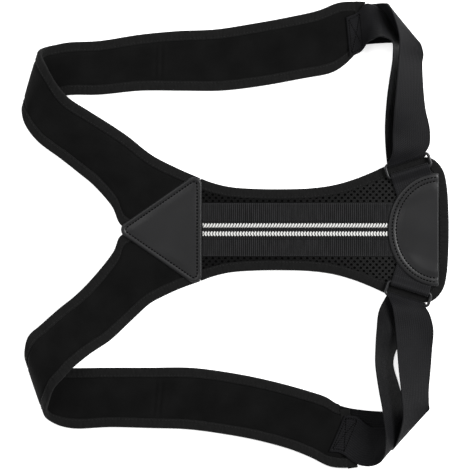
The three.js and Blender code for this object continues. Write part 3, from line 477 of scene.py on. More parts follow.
class Band:
    """A strip between a neck-side edge and an arm-side edge, with its directions at each station."""

    def __init__(self, neck, arm, even=None):
        if even:
            middle = (neck + arm) / 2
            run = along_of(middle)
            at = np.linspace(0, run[-1], max(2, round(run[-1] / even)))
            neck, arm = sampled(at, run, neck), sampled(at, run, arm)
        self.neck, self.arm = neck, arm
        self.middle = (neck + arm) / 2
        self.run = along_of(self.middle)
        self.width = np.linalg.norm(arm - neck, axis=1)
        self.across = unit(arm - neck)
        self.ahead = unit(np.gradient(self.middle, axis=0))
        self.normal = unit(np.cross(self.across, self.ahead))

    def at(self, run, across, height):
        """Points on the strip, from how far along, how far from its middle and how high."""
        middle, side, normal = [sampled(run, self.run, v) for v in (self.middle, self.across, self.normal)]
        return middle + side * np.asarray(across)[..., None] + normal * np.asarray(height)[..., None], normal

    def before_end(self, first, edge, short):
        """The strip from one of its stations to a distance short of its end, along one edge."""
        line = along_of(getattr(self, edge))
        stop = np.interp(line[-1] - short, line, np.arange(len(line)))
        places = np.append(np.arange(first, math.ceil(stop)), stop)
        stations = np.arange(len(line))
        return Band(sampled(places, stations, self.neck), sampled(places, stations, self.arm))

    def around(self, across, upper, lower):
        """Points round the strip over its two faces, no lower than the table, and their girth."""
        offsets = np.concatenate([across, across[:, ::-1]], 1)[..., None]
        heights = np.concatenate([upper, lower[:, ::-1]], 1)[..., None]
        grid = self.middle[:, None] + self.across[:, None] * offsets
        grid = grid + self.normal[:, None] * heights
        grid[..., 2] = np.maximum(grid[..., 2], TABLE_PLAY)
        return grid, np.concatenate([across.mean(0), across.mean(0)[::-1] + 0.2])


def placed(points, side):
    """Points of one half of the brace, put in the row frame; side is 1, or -1 for the left half."""
    points = np.asarray(points, float).copy()
    points[..., 0] += JOINT_X
    points[..., 1] = points[..., 1] * side + SPINE_Y
    return points


def finish_mesh(name, vertices, faces, uv, material, node=None, closed=True):
    """Makes a smooth mesh object that rides on the brace, and stands for a CAD node if one is named."""
    mesh = bpy.data.meshes.new(name)
    mesh.from_pydata(np.asarray(vertices).reshape(-1, 3).tolist(), [], faces)
    if uv is not None:
        layer = mesh.uv_layers.new(name="cloth")
        layer.data.foreach_set("uv", np.asarray(uv, np.float32).ravel())
    if closed:
        shape = bmesh.new()
        shape.from_mesh(mesh)
        bmesh.ops.recalc_face_normals(shape, faces=shape.faces)
        shape.to_mesh(mesh)
        shape.free()
    mesh.polygons.foreach_set("use_smooth", [True] * len(mesh.polygons))
    mesh.materials.append(material)
    piece = bpy.data.objects.new(name, mesh)
    bpy.context.scene.collection.objects.link(piece)
    return dressed(piece, node)


def dressed(piece, node=None):
    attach(piece, "root")
    if node:
        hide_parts(node)
    return piece


def tube_faces(rows, cols):
    """The faces between closed rings of points, with each face's row and column."""
    i, j = np.meshgrid(np.arange(rows - 1), np.arange(cols), indexing="ij")
    k = (j + 1) % cols
    faces = np.stack([i * cols + j, i * cols + k, (i + 1) * cols + k, (i + 1) * cols + j], -1)
    return faces.reshape(-1, 4), i, j


def skin(name, grid, girth, run, material, node=None):
    """A closed tube over a grid of points: rows along the piece, columns round it."""
    rows, cols = grid.shape[:2]
    faces, i, j = tube_faces(rows, cols)
    girth = np.append(girth, girth[-1] + TAPE_THICKNESS)
    corners = [(i, j), (i, j + 1), (i + 1, j + 1), (i + 1, j)]
    uv = np.stack([np.stack([girth[b], run[a]], -1) for a, b in corners], -2).reshape(-1, 2)
    ends = [list(range(cols))[::-1], list(range((rows - 1) * cols, rows * cols))]
    end_uv = np.concatenate([np.stack([girth[: cols][::-1], np.full(cols, run[0])], 1),
                             np.stack([girth[: cols], np.full(cols, run[-1])], 1)])
    uv = np.concatenate([uv, end_uv])
    return finish_mesh(name, grid, faces.tolist() + ends, uv, material, node)


def strip_columns(count):
    """Places across a strip from -1 to 1, closer together at its edges."""
    return np.sin(np.linspace(-np.pi / 2, np.pi / 2, count))


def strip(name, band, side, thickness, material, node, columns=24, top=None, bottom=None, zero=0):
    """A woven strip of even thickness with rounded edges, and reliefs on its two faces."""
    across = strip_columns(columns)[None, :] * band.width[:, None] / 2
    from_edge = band.width[:, None] / 2 - np.abs(across)
    round_off = np.sqrt(np.clip(1 - (1 - np.clip(from_edge / (thickness / 2), 0, 1)) ** 2, 0.05, 1))
    half = thickness / 2 * round_off
    upper = half + (top(across, band.run[:, None]) if top else 0)
    lower = -half - (bottom(across, band.run[:, None]) if bottom else 0)
    grid, girth = band.around(across, upper, lower)
    return skin(name, placed(grid, side), girth, band.run - zero, material, node)


def stitches(name, lines, side, material, pitch=STITCH_PITCH, radius=STITCH_RADIUS):
    """Thread along lines, each a list of points with the normals of the cloth under them."""
    angles = np.arange(6) * np.pi / 3
    shape = np.array([(-0.5, 0.35), (-0.36, 1.0), (0.36, 1.0), (0.5, 0.35)])
    tube = tube_faces(len(shape), len(angles))[0]
    caps = np.array([range(5, -1, -1), range(18, 24)])
    vertices, faces, start = [], [], 0
    for points, normals in lines:
        run = along_of(points)
        spots = np.arange(pitch / 2, run[-1], pitch)
        if not len(spots):
            continue
        middle = sampled(spots, run, points)
        ahead = sampled(spots, run, np.gradient(points, axis=0))
        normal = unit(sampled(spots, run, normals))
        ahead = unit(ahead - normal * np.sum(ahead * normal, 1, keepdims=True))
        aside = np.cross(normal, ahead)
        length = pitch * STITCH_LENGTH / STITCH_PITCH
        for m, a, n, b in zip(middle, ahead, normal, aside):
            for along, fat in shape:
                ring = m + a * along * length + radius * fat * (
                    np.cos(angles)[:, None] * b + np.sin(angles)[:, None] * n
                )
                ring = ring - n * radius * (1 - fat) * 0.8
                vertices.append(ring)
            faces += (tube + start).tolist() + (caps + start).tolist()
            start += 24
    uv = [(0.0001 * c, 0.0003 * (c % 2)) for face in faces for c in range(len(face))]
    made = placed(np.concatenate(vertices), side)
    made[:, 2] = np.maximum(made[:, 2], TABLE_PLAY)
    return finish_mesh(name, made, faces, uv, material, None)


def edge_line(band, edge, inset, height):
    """The line on a band at a distance in from one of its edges, with the normals there."""
    sign = -1 if edge == "neck" else 1
    points = band.middle + band.across * (sign * (band.width / 2 - inset))[:, None]
    points = points + band.normal * height
    return points, band.normal * np.sign(height)


# Padded straps.
def direction(turn, dip):
    turn, dip = math.radians(turn), math.radians(dip)
    return np.array([math.cos(dip) * math.cos(turn), math.cos(dip) * math.sin(turn), math.sin(dip)])


def turned(vector, degrees):
    """A vector turned about the vertical."""
    c, s = math.cos(math.radians(degrees)), math.sin(math.radians(degrees))
    return np.array([vector[0] * c - vector[1] * s, vector[0] * s + vector[1] * c, vector[2]])


def strap_band(side):
    """The strap's two edges, from the joint over the shoulder and back to its end."""
    seam = GAP / 2
    neck = [np.array([0, seam, PAD_MIDDLE])]
    arm = [np.array([0, PANEL_OUTLINE[0][1] * PANEL_HALF_WIDTH, PAD_MIDDLE])]

    def put(x, y, z, width, across):
        reach = across * width * STRAP_WIDTH / 2
        low = np.array([x, y, z]) - reach
        low[1] = max(low[1], seam)
        neck.append(low)
        arm.append(np.array([x, y, z]) + reach)

    for out, aside, turn, width, tilt, lift in OUTER_RUN[side]:
        z = PAD_MIDDLE + lift * SHOULDER_LIFT
        put(-out * SHOULDER_REACH, aside * LOOP_SPAN, z, width, direction(turn, tilt))
    for back, aside, turn, width, lift, seat in FRONT_RUN[side]:
        z = PAD_MIDDLE + lift * SHOULDER_LIFT + seat * HOOK_STACK
        put(back * FRONT_LENGTH - SHOULDER_REACH, aside * LOOP_SPAN, z, width, direction(turn, 0))
    edges = [smooth_line(line, 14) for line in (neck, arm)]
    for line in edges:
        line[:, 2] = np.maximum(line[:, 2], PAD_MIDDLE)
    return Band(*edges, even=0.0022)


def pad_relief(side, band, seed):
    """The velour's soft unevenness, and the creases where the strap has just turned over."""

    def height(across, run):
        total = run[-1, 0]
        crease = band.run[np.nonzero(band.middle[:, 0] < CREASE_X)[0][-1]]
        soft = 0.00022 * ripple(across, run, 0.045, seed)
        folds = 0
        for ahead in (0, CREASE_SPACING):
            place = crease + ahead + CREASE_LEAN * across * (1 if side == "right" else -1)
            folds = folds - CREASE_DEPTH * np.exp(-(((run - place) / CREASE_WIDTH) ** 2))
            folds = folds + CREASE_DEPTH / 2 * np.exp(-(((run - place - 0.003) / 0.002) ** 2))
        shown = np.exp(-((across / 0.017) ** 4))
        end = smoothstep((total - run) / 0.01)
        return (soft + folds * shown) * end

    return height


def strap_pad(side, band, sign):
    band = Band(band.neck, band.arm, even=0.0012)
    half_width = band.width[:, None] / 2 - PAD_INSET
    across = strip_columns(40)[None, :] * half_width
    from_edge = band.width[:, None] / 2 - np.abs(across)
    thin, full = PAD_EDGE_THICKNESS / 2, PAD_THICKNESS / 2
    left = (band.run[-1] - band.run)[:, None]
    rise = pad_rise(from_edge) * smoothstep((left - TAPE_WIDTH) / 0.004)
    dome = np.clip(1 - (across / half_width) ** 2, 0, 1)
    half = thin + (full - thin + PAD_PUFF * dome) * rise
    upper = half + pad_relief(side, band, 3)(across, band.run[:, None]) * rise
    lower = -half - pad_relief(side, band, 5)(across, band.run[:, None]) * rise
    grid, girth = band.around(across, upper, lower)
    grid[-1] -= band.ahead[-1] * PAD_INSET
    name = f"strap_padding_{side}"
    piece = skin(name, placed(grid, sign), girth, band.run, VELOUR, f"strap_pad_{side}")


def tape_section(width):
    """Folded tape round an edge: distances in from the edge and heights, outside and then inside."""
    arc = np.linspace(0, np.pi, 9)
    outer = [(width, TAPE_HALF * 0.9), (width * 0.97, TAPE_HALF), (width * 0.75, TAPE_HALF)]
    outer += [(width * 0.45, TAPE_HALF), (TAPE_HALF * 0.9, TAPE_HALF)]
    outer += [(TAPE_HALF * 0.9 * (1 - math.sin(t)), TAPE_HALF * math.cos(t)) for t in arc[1:-1]]
    outer += [(c, -h) for c, h in outer[4::-1]]
    inside = TAPE_HALF - TAPE_THICKNESS
    inner = [(width, -inside), (width * 0.5, -inside), (TAPE_THICKNESS * 2, -inside * 0.9)]
    inner += [(TAPE_THICKNESS, 0), (TAPE_THICKNESS * 2, inside * 0.9), (width * 0.5, inside), (width, inside)]
    return np.array(outer + inner)


def tape(name, edge, inward, normal, run, side, node, width=None):
    """Sewn tape along an edge, puckered a little by its stitches."""
    width = np.full(len(run), TAPE_WIDTH) if width is None else width
    section = np.stack([tape_section(w) for w in width])
    depth, height = section[..., 0], section[..., 1]
    pucker = ripple(run[:, None], depth * 2, 0.011, 11)
    inner_share = smoothstep(depth / TAPE_WIDTH - 0.3)
    depth = depth + 0.0003 * pucker * inner_share
    height = height * (1 + 0.1 * ripple(depth * 3, run[:, None], 0.007, 7) * inner_share)
    grid = edge[:, None] + inward[:, None] * depth[..., None] + normal[:, None] * height[..., None]
    grid[..., 2] = np.maximum(grid[..., 2], TABLE_PLAY)
    girth = along_of(section[0])
    return skin(name, placed(grid, side), girth, run, TAPE, node)


def strap_tapes(side, band, sign):
    """Tape along both edges and over the end, with a row of stitches on each face."""
    free = np.nonzero(band.neck[:, 1] > 0.0012)[0][0]
    ends = {"arm": 0, "neck": free}
    for edge, first in ends.items():
        part = band.before_end(first, edge, TAPE_WIDTH + GAP / 2)
        inward = part.across * (-1 if edge == "arm" else 1)
        line = part.arm if edge == "arm" else part.neck
        node = f"strap_{edge}_binding_{side}"
        tape(f"strap_{edge}_tape_{side}", line, inward, part.normal, part.run, sign, node)
        rows = [edge_line(part, edge, SEAM_INSET, s * TAPE_HALF) for s in (1, -1)]
        stitches(f"strap_{edge}_stitches_{side}", rows, sign, LIGHT_THREAD)
    corner = band.neck[-1], band.arm[-1]
    share = np.linspace(0.012, 0.988, 24)[:, None]
    edge = corner[0] * (1 - share) + corner[1] * share
    outward = unit(np.cross(band.normal[-1], band.across[-1])[None])[0]
    inward = np.repeat(-outward[None], len(edge), 0)
    normal = np.repeat(band.normal[-1][None], len(edge), 0)
    run = along_of(edge)
    tape(f"strap_end_tape_{side}", edge, inward, normal, run, sign, f"strap_end_binding_{side}")


# Back panel.
def outline_points(steps=6):
    """Half the panel's outline, from the joint to the middle of the lumbar edge."""
    rows = [(a * PANEL_LENGTH, h * PANEL_HALF_WIDTH, 0) for a, h in PANEL_OUTLINE]
    mirrored = [(x, -y, 0) for x, y, _ in rows[-2::-1]]
    line = smooth_line(rows + mirrored, steps)
    return line[: len(line) // 2 + 1, :2]


def distance_to(points, line):
    """How far each point lies from a line of points, all in plan."""
    start, stop = line[:-1], line[1:]
    along = stop - start
    best = np.full(points.shape[:-1], 1e9)
    for a, d in zip(start, along):
        t = np.clip(((points - a) @ d) / max(d @ d, 1e-15), 0, 1)
        best = np.minimum(best, np.linalg.norm(points - a - t[..., None] * d, axis=-1))
    return best


HALF_OUTLINE = outline_points()
FULL_OUTLINE = np.vstack([HALF_OUTLINE, HALF_OUTLINE[-2::-1] * [1, -1]])


def panel_half_height(plan):
    """Half the pad's thickness at points of the plan."""
    from_edge = distance_to(plan, FULL_OUTLINE)
    thin, full = PAD_EDGE_THICKNESS / 2, PAD_THICKNESS / 2
    return thin + (full - thin) * pad_rise(from_edge)


def back_panel():
    rows = outline_points(5)
    rows = rows[:-1]
    reach = np.maximum(rows[:, 1] - PAD_INSET, 0.0004)
    x = np.clip(rows[:, 0], GAP, PANEL_LENGTH - PAD_INSET)
    x = np.minimum(x, np.interp(reach, [0, 0.03], [PANEL_LENGTH - PAD_INSET, PANEL_LENGTH]))
    share = strip_columns(60)
    plan = np.stack([np.repeat(x[:, None], 60, 1), reach[:, None] * share[None]], -1)
    half = panel_half_height(plan)
    lower = PAD_MIDDLE - half + 0.00015 * (1 + ripple(plan[..., 0], plan[..., 1], 0.05, 4)) * 0.5
    upper = PAD_MIDDLE + half
    top = np.concatenate([plan, upper[..., None]], -1)
    under = np.concatenate([plan, lower[..., None]], -1)[:, ::-1]
    grid = np.concatenate([top, under], 1)
    girth = np.concatenate([share, share[::-1] + 2.5]) * PANEL_HALF_WIDTH
    run = along_of(rows)
    piece = skin("panel_padding", placed(grid, 1), girth, run, FOAM_MESH, "back_panel")


def spacer_mesh():
    """The open knit over the panel: diamond cells, each with a hole through to the ground."""
    corners = np.linspace(0, 2 * np.pi, 13)[:-1]
    diamond = np.stack([np.cos(corners), np.sin(corners)], 1)
    diamond = diamond / np.abs(diamond).sum(1, keepdims=True)
    oval = np.stack([np.cos(corners) * HOLE_LENGTH, np.sin(corners) * HOLE_WIDTH], 1)
    edge = diamond * [CELL_LENGTH / 2, CELL_WIDTH / 2]
    rings = [(edge, 0.0), ((edge + oval) / 2 + oval * 0.1, 0.55), (oval, 0.35), (oval * 0.94, -0.3)]
    knit = tube_faces(len(rings), len(corners))[0]
    vertices, faces, start = [], [], 0
    rows = int(2 * PANEL_HALF_WIDTH / (CELL_WIDTH / 2))
    for row in range(-rows // 2, rows // 2 + 1):
        y = row * CELL_WIDTH / 2
        for column in range(int(PANEL_LENGTH / CELL_LENGTH) + 1):
            x = (column + 0.5 * (row % 2)) * CELL_LENGTH + 0.003
            if abs(y) < SPINE_WIDTH / 2 - CELL_WIDTH or x > PANEL_LENGTH - TAPE_WIDTH:
                continue
            half = np.interp(x, HALF_OUTLINE[:, 0], HALF_OUTLINE[:, 1])
            if abs(y) > half - TAPE_WIDTH * 0.85:
                continue
            for ring, height in rings:
                plan = ring + [x, y]
                vertices.append(np.column_stack([plan, np.full(12, height * YARN_THICKNESS)]))
            faces += (knit + start).tolist()
            start += 48
    points = np.concatenate(vertices)
    base = PAD_MIDDLE + panel_half_height(points[:, :2]) + 0.00025
    points[:, 2] += base + 0.0001 * ripple(points[:, 0], points[:, 1], 0.03, 9)
    loops = np.array([v for face in faces for v in face])
    uv = points[loops][:, :2]
    finish_mesh("panel_open_knit", placed(points, 1), faces, uv, MESH_YARN, None, closed=False)


def panel_tape():
    line = np.vstack([outline_points(8), outline_points(8)[-2::-1] * [1, -1]])
    line = line[line[:, 0] >= GAP]
    run = along_of(line)
    at = np.linspace(0, run[-1], round(run[-1] / 0.0025))
    line = sampled(at, run, line)
    ahead = unit(np.gradient(line, axis=0))
    inward = np.column_stack([ahead[:, 1], -ahead[:, 0], np.zeros(len(line))])
    inward *= np.sign(inward[0, 1]) * -1
    edge = np.column_stack([line, np.full(len(line), PAD_MIDDLE)])
    normal = np.tile([0.0, 0, 1], (len(line), 1))
    tape("panel_edge_tape", edge, inward, normal, at, 1, "panel_binding")
    rows = []
    for face in (1, -1):
        points = edge + inward * SEAM_INSET + normal * face * TAPE_HALF
        rows.append((points, normal * face))
    stitches("panel_edge_stitches", rows, 1, LIGHT_THREAD)


# Spine webbing and its reflective stripes.
def spine_relief(across, run):
    """Cross ribs, thicker selvages, and the smaller woven dots beside the stripes."""
    from_edge = SPINE_WIDTH / 2 - np.abs(across)
    ribs = 0.5 * (1 + np.cos(2 * np.pi * run / RIB_PITCH))
    dots = ribs * (0.5 + 0.5 * np.cos(2 * np.pi * across / DOT_PITCH))
    ribbed = smoothstep((np.abs(across) - DOTTED_ZONE) / 0.0006)
    selvage = 1 - smoothstep((from_edge - SELVAGE * 0.6) / (SELVAGE * 0.4))
    cord = SELVAGE_HEIGHT * np.sin(np.pi * np.clip(from_edge / SELVAGE, 0, 1))
    return RIB_HEIGHT * (ribs * ribbed * (1 - selvage) + 1.3 * dots * (1 - ribbed)) + cord * selvage


def spine_webbing():
    start, stop = PATCH_OVERLAP + GAP, PANEL_LENGTH - TAPE_WIDTH - GAP
    x = np.arange(start, stop, RIB_PITCH / 4)
    z = PAD_THICKNESS + GAP + SPINE_THICKNESS / 2
    neck = np.column_stack([x, np.full(len(x), -SPINE_WIDTH / 2), np.full(len(x), z)])
    arm = neck * [1, -1, 1]
    band = Band(arm, neck)
    strip("spine_elastic", band, 1, SPINE_THICKNESS, ELASTIC, "spine_webbing", 72, spine_relief)


def stripe(side, sign):
    start = PATCH_OVERLAP + 2 * GAP
    stop = PANEL_LENGTH - TAPE_WIDTH - LUMBAR_DEPTH - 2 * GAP
    x = np.arange(start, stop, STRIPE_TWILL / 8)
    middle = STRIPE_SPACING / 2
    share = strip_columns(16)
    reach = STRIPE_WIDTH / 2 + STRIPE_SERRATION * np.cos(2 * np.pi * x / STRIPE_TWILL)
    across = share[None] * reach[:, None]
    lean = x[:, None] - 0.5 * (across if side == "right" else np.abs(across))
    round_off = np.sqrt(np.clip(1 - share[None] ** 4, 0, 1))
    height = STRIPE_THICKNESS * (0.55 + 0.75 * np.abs(np.sin(np.pi * lean / STRIPE_TWILL))) * round_off
    low = SPINE_TOP + GAP - 0.0001
    top = np.stack([np.repeat(x[:, None], 16, 1), middle + across, low + height], -1)
    under = np.stack([np.repeat(x[:, None], 16, 1), middle + across, np.full_like(across, low - 0.0001)], -1)
    grid = np.concatenate([top, under[:, ::-1]], 1)
    slant = share if side == "right" else np.abs(share)
    girth = np.concatenate([slant, slant[::-1] + 3]) * STRIPE_WIDTH / 4
    skin(f"stripe_yarn_{side}", placed(grid, sign), girth, x, REFLECTIVE, f"stripe_{side}")


# Leather patches.
def rounded(corners, radius, steps):
    """A polygon with its corners rounded."""
    made = []
    for i, corner in enumerate(corners):
        before, after = np.array(corners[i - 1]), np.array(corners[(i + 1) % len(corners)])
        corner = np.array(corner)
        a, b = unit(before - corner), unit(after - corner)
        half = math.acos(a @ b) / 2
        centre = corner + unit(a + b) * radius / math.sin(half)
        start = corner + a * radius / math.tan(half) - centre
        stop = corner + b * radius / math.tan(half) - centre
        sweep = math.atan2(start[0] * stop[1] - start[1] * stop[0], start @ stop)
        for k in range(steps + 1):
            c, s = math.cos(sweep * k / steps), math.sin(sweep * k / steps)
            made.append(centre + [start[0] * c - start[1] * s, start[0] * s + start[1] * c])
    return np.array(made)


def evenly(outline, spacing):
    """A closed outline with its points spaced evenly."""
    loop = np.vstack([outline, outline[:1]])
    run = along_of(loop)
    return sampled(np.linspace(0, run[-1], round(run[-1] / spacing), endpoint=False), run, loop)


def leather_patch(name, outline, hem, ground, rim, dome, seams, node, wave_size):
    """A patch with a rolled rim and stitched seams along its hem, and a soft dome inside them."""
    outline = evenly(outline, 0.0016)
    centre = outline.mean(0)
    rings = 1 - np.concatenate([np.linspace(0, 0.32, 34), np.linspace(0.35, 0.985, 22)])
    plan = centre + (outline - centre)[None] * rings[:, None, None]
    loop = np.vstack([outline, outline[:1]])
    edge = np.clip(distance_to(plan, loop) / 0.0012, 0, 1)
    inside = distance_to(plan, hem)
    height = LEATHER_THICKNESS * np.sqrt(1 - (1 - edge) ** 2)
    height = height + HEM_ROLL * np.sin(np.pi * np.clip(inside / rim, 0, 1)) * edge
    for seam in seams:
        height = height - SEAM_GROOVE * np.exp(-(((inside - seam) / 0.001) ** 2)) * edge
    height = height + leather_dome(plan, inside, rim, dome, wave_size) * edge
    base = ground(plan)
    top = np.concatenate([plan, (base + height)[..., None]], -1)
    under = np.concatenate([plan, base[..., None]], -1)
    levels = np.concatenate([under[::-1][-2:], top])
    count = len(outline)
    vertices = levels.reshape(-1, 3)
    faces = tube_faces(len(levels), count)[0].tolist()
    faces.append(list(range(count))[::-1])
    faces.append([(len(levels) - 1) * count + q for q in range(count)])
    uv = [tuple(vertices[v][:2]) for face in faces for v in face]
    finish_mesh(name, placed(vertices, 1), faces, uv, LEATHER, node)
    lines = []
    for seam in seams:
        inset = inset_line(hem, seam)
        roll = HEM_ROLL * math.sin(math.pi * min(seam / rim, 1))
        raised = ground(inset) + LEATHER_THICKNESS - 0.0001 + roll
        raised = raised + leather_dome(inset, np.full(len(inset), seam), rim, dome, wave_size)
        points = np.column_stack([inset, raised])
        lines.append((points, np.tile([0.0, 0, 1], (len(points), 1))))
    stitches(name + "_stitches", lines, 1, THREAD, 0.0032, 0.0006)


def leather_dome(plan, inside, rim, dome, wave_size):
    """How the padding under the leather raises it inside its hem."""
    swell = smoothstep((inside - rim) / 0.007)
    uneven = 0.0007 * ripple(plan[..., 0], plan[..., 1], wave_size, 21)
    return (dome + uneven) * swell


def inset_line(line, distance):
    """A convex line moved towards the side that it bends to, without the points that cross."""
    middle = line.mean(0)
    ahead = unit(np.gradient(line, axis=0))
    closed = np.allclose(line[0], line[-1])
    if closed:
        ahead[0] = ahead[-1] = unit(line[1] - line[-2])
    inward = np.stack([-ahead[:, 1], ahead[:, 0]], 1)
    inward = inward * np.sign(np.sum(inward * (middle - line)))
    moved = line + inward * distance
    return moved[distance_to(moved, line) > distance * 0.985]


def shoulder_patch():
    side = PATCH_OVERLAP
    half = PATCH_WIDTH / 2
    corners = [(side, -half), (side, half), (side - PATCH_LENGTH, 0)]
    outline = rounded(corners, PATCH_CORNER, 10)

    def ground(plan):
        return np.full(plan.shape[:-1], PAD_THICKNESS + GAP)

    outline = evenly(outline, 0.0012)
    hem = np.vstack([outline, outline[:1]])
    leather_patch("shoulder_leather", outline, hem, ground, 0.0042, 0.0003, [0.0048], "shoulder_patch", 0.05)


def lumbar_patch():
    base = PANEL_LENGTH - TAPE_WIDTH - GAP
    angles = np.linspace(np.pi / 2, 1.5 * np.pi, 120)
    arc = np.stack([base + LUMBAR_DEPTH * np.cos(angles), LUMBAR_WIDTH / 2 * np.sin(angles)], 1)
    limit = np.interp(arc[:, 0], HALF_OUTLINE[:-4, 0], HALF_OUTLINE[:-4, 1]) - TAPE_WIDTH - GAP
    arc[:, 1] = np.clip(arc[:, 1], -limit, limit)
    centre, along, out = ring_frame()

    def ground(plan):
        mirrored = np.stack([plan[..., 0], np.abs(plan[..., 1])], -1)
        local = mirrored - centre[:2]
        aside = np.abs(local @ along[:2])
        inner = -(local @ out[:2]) - RING_BAR
        tab = smoothstep((WEBBING_WIDTH / 2 + 0.008 - aside) / 0.012)
        tab = tab * smoothstep((tab_reach() + 0.008 - inner) / 0.014)
        return SPINE_TOP + GAP / 2 + 0.0009 * tab

    leather_patch("lumbar_leather", arc, arc, ground, 0.0078, 0.0006, [0.0042, 0.0080], "lumbar_patch", 0.045)


# Rings, tabs and side webbings.
def panel_half_width_at(x):
    rows = np.array(PANEL_OUTLINE)
    return np.interp(x / PANEL_LENGTH, rows[:, 0], rows[:, 1]) * PANEL_HALF_WIDTH


def ring_frame():
    turn = math.radians(RING_TURN)
    x = RING_STATION * PANEL_LENGTH
    centre = np.array([x, panel_half_width_at(x) - RING_INSET, RING_Z])
    along = np.array([math.cos(turn), math.sin(turn), 0])
    out = np.array([-math.sin(turn), math.cos(turn), 0])
    return centre, along, out


def tab_reach():
    centre, _, _ = ring_frame()
    turn = math.radians(RING_TURN)
    bar = centre[1] - RING_BAR * math.cos(turn)
    corner = WEBBING_WIDTH / 2 * math.sin(turn)
    return (bar - corner - SPINE_WIDTH / 2 - GAP) / math.cos(turn)


def ring(side, sign):
    """A moulded rectangular ring with rounded corners and a round bar."""
    centre, _, _ = ring_frame()
    place = placed(centre[None], sign)[0]
    bpy.ops.object.select_all(action="DESELECT")
    bpy.ops.mesh.primitive_plane_add(size=1, location=(0, 0, 0))
    piece = bpy.context.object
    piece.name = f"ring_moulding_{side}"
    bpy.ops.transform.resize(value=(2 * RING_END, 2 * RING_BAR, 1))
    bpy.ops.object.transform_apply(location=True, rotation=True, scale=True)
    bpy.ops.object.mode_set(mode="EDIT")
    bpy.ops.mesh.select_all(action="SELECT")
    bpy.ops.mesh.bevel(affect="VERTICES", offset=RING_WIRE * 1.1, segments=8)
    bpy.ops.mesh.select_all(action="SELECT")
    bpy.ops.mesh.delete(type="ONLY_FACE")
    bpy.ops.object.mode_set(mode="OBJECT")
    bpy.ops.object.convert(target="CURVE")
    piece.data.bevel_depth = RING_WIRE / 2 * 0.99
    piece.data.bevel_resolution = 6
    bpy.ops.object.convert(target="MESH")
    piece = bpy.context.object
    turn = math.radians(RING_TURN) * sign
    piece.rotation_euler = (0, 0, turn)
    piece.location = place
    bpy.ops.object.transform_apply(location=True, rotation=True, scale=True)
    bpy.ops.object.shade_smooth()
    piece.data.materials.clear()
    piece.data.materials.append(MOULDED)
    dressed(piece, f"ring_{side}")


def rungs_to_band(middles, acrosses, reach, even=0.0016, flat=None, steps=10):
    middles, acrosses = np.array(middles, float), np.array(acrosses, float)
    reach = np.array(reach, float)[:, None]
    neck = smooth_line(middles - acrosses * reach, steps)
    arm = smooth_line(middles + acrosses * reach, steps)
    if flat is not None:
        neck[:, 2], arm[:, 2] = np.maximum(neck[:, 2], flat), np.maximum(arm[:, 2], flat)
    return Band(neck, arm, even=even)


def selvage(band, width, height, uneven=0.0):
    """Relief of a strip's thicker woven edges, uneven along them where the weft turns back."""

    def relief(across, run):
        from_edge = band.width[:, None] / 2 - np.abs(across)
        cord = np.sin(np.pi * np.clip(from_edge / width, 0, 1))
        return height * cord * (1 + uneven * np.sin(2 * np.pi * run / SELVAGE_PITCH))

    return relief


def ring_tab(side, sign):
    """The short webbing from under the lumbar patch, round the ring's inner bar and back."""
    centre, along, out = ring_frame()
    low = PAD_THICKNESS + GAP + TAB_THICKNESS / 2
    high = low + GAP + TAB_THICKNESS
    end = -tab_reach()
    path = [(end, low), (end / 2, low), (-TAB_SLOPE, low)]
    for i in range(9):
        angle = math.pi * i / 8 - math.pi / 2
        path.append((TAB_SLACK + TAB_WRAP * math.cos(angle), RING_Z + TAB_WRAP * math.sin(angle)))
    path += [(0, RING_Z + TAB_WRAP), (-TAB_SLOPE / 2, (RING_Z + TAB_WRAP + high) / 2)]
    path += [(-TAB_SLOPE, high), (end / 2, high), (end, high)]
    middles = []
    for distance, z in path:
        middle = centre + out * (distance - RING_BAR)
        middles.append([middle[0], middle[1], z])
    band = rungs_to_band(middles, [along] * len(path), [WEBBING_WIDTH / 2] * len(path), even=0.0008)
    edges = selvage(band, 0.0018, 0.00008)
    name = f"ring_tab_webbing_{side}"
    piece = strip(name, band, sign, TAB_THICKNESS, TAB_WEBBING, f"ring_tab_{side}", 24, edges)


def rung_on_strap(strap, back, z, aside, like):
    """A level rung across the strap, at a distance back from its end and a height."""
    place = strap.run[-1] - back
    middle = sampled(place, strap.run, strap.middle)
    sure = min(place, strap.run[-1] - 0.02)
    across = sampled(sure, strap.run, strap.across)
    across[2] = 0
    across = unit(across)
    middle = middle - across * aside
    middle[2] = z
    return middle, across if like @ across > 0 else -across


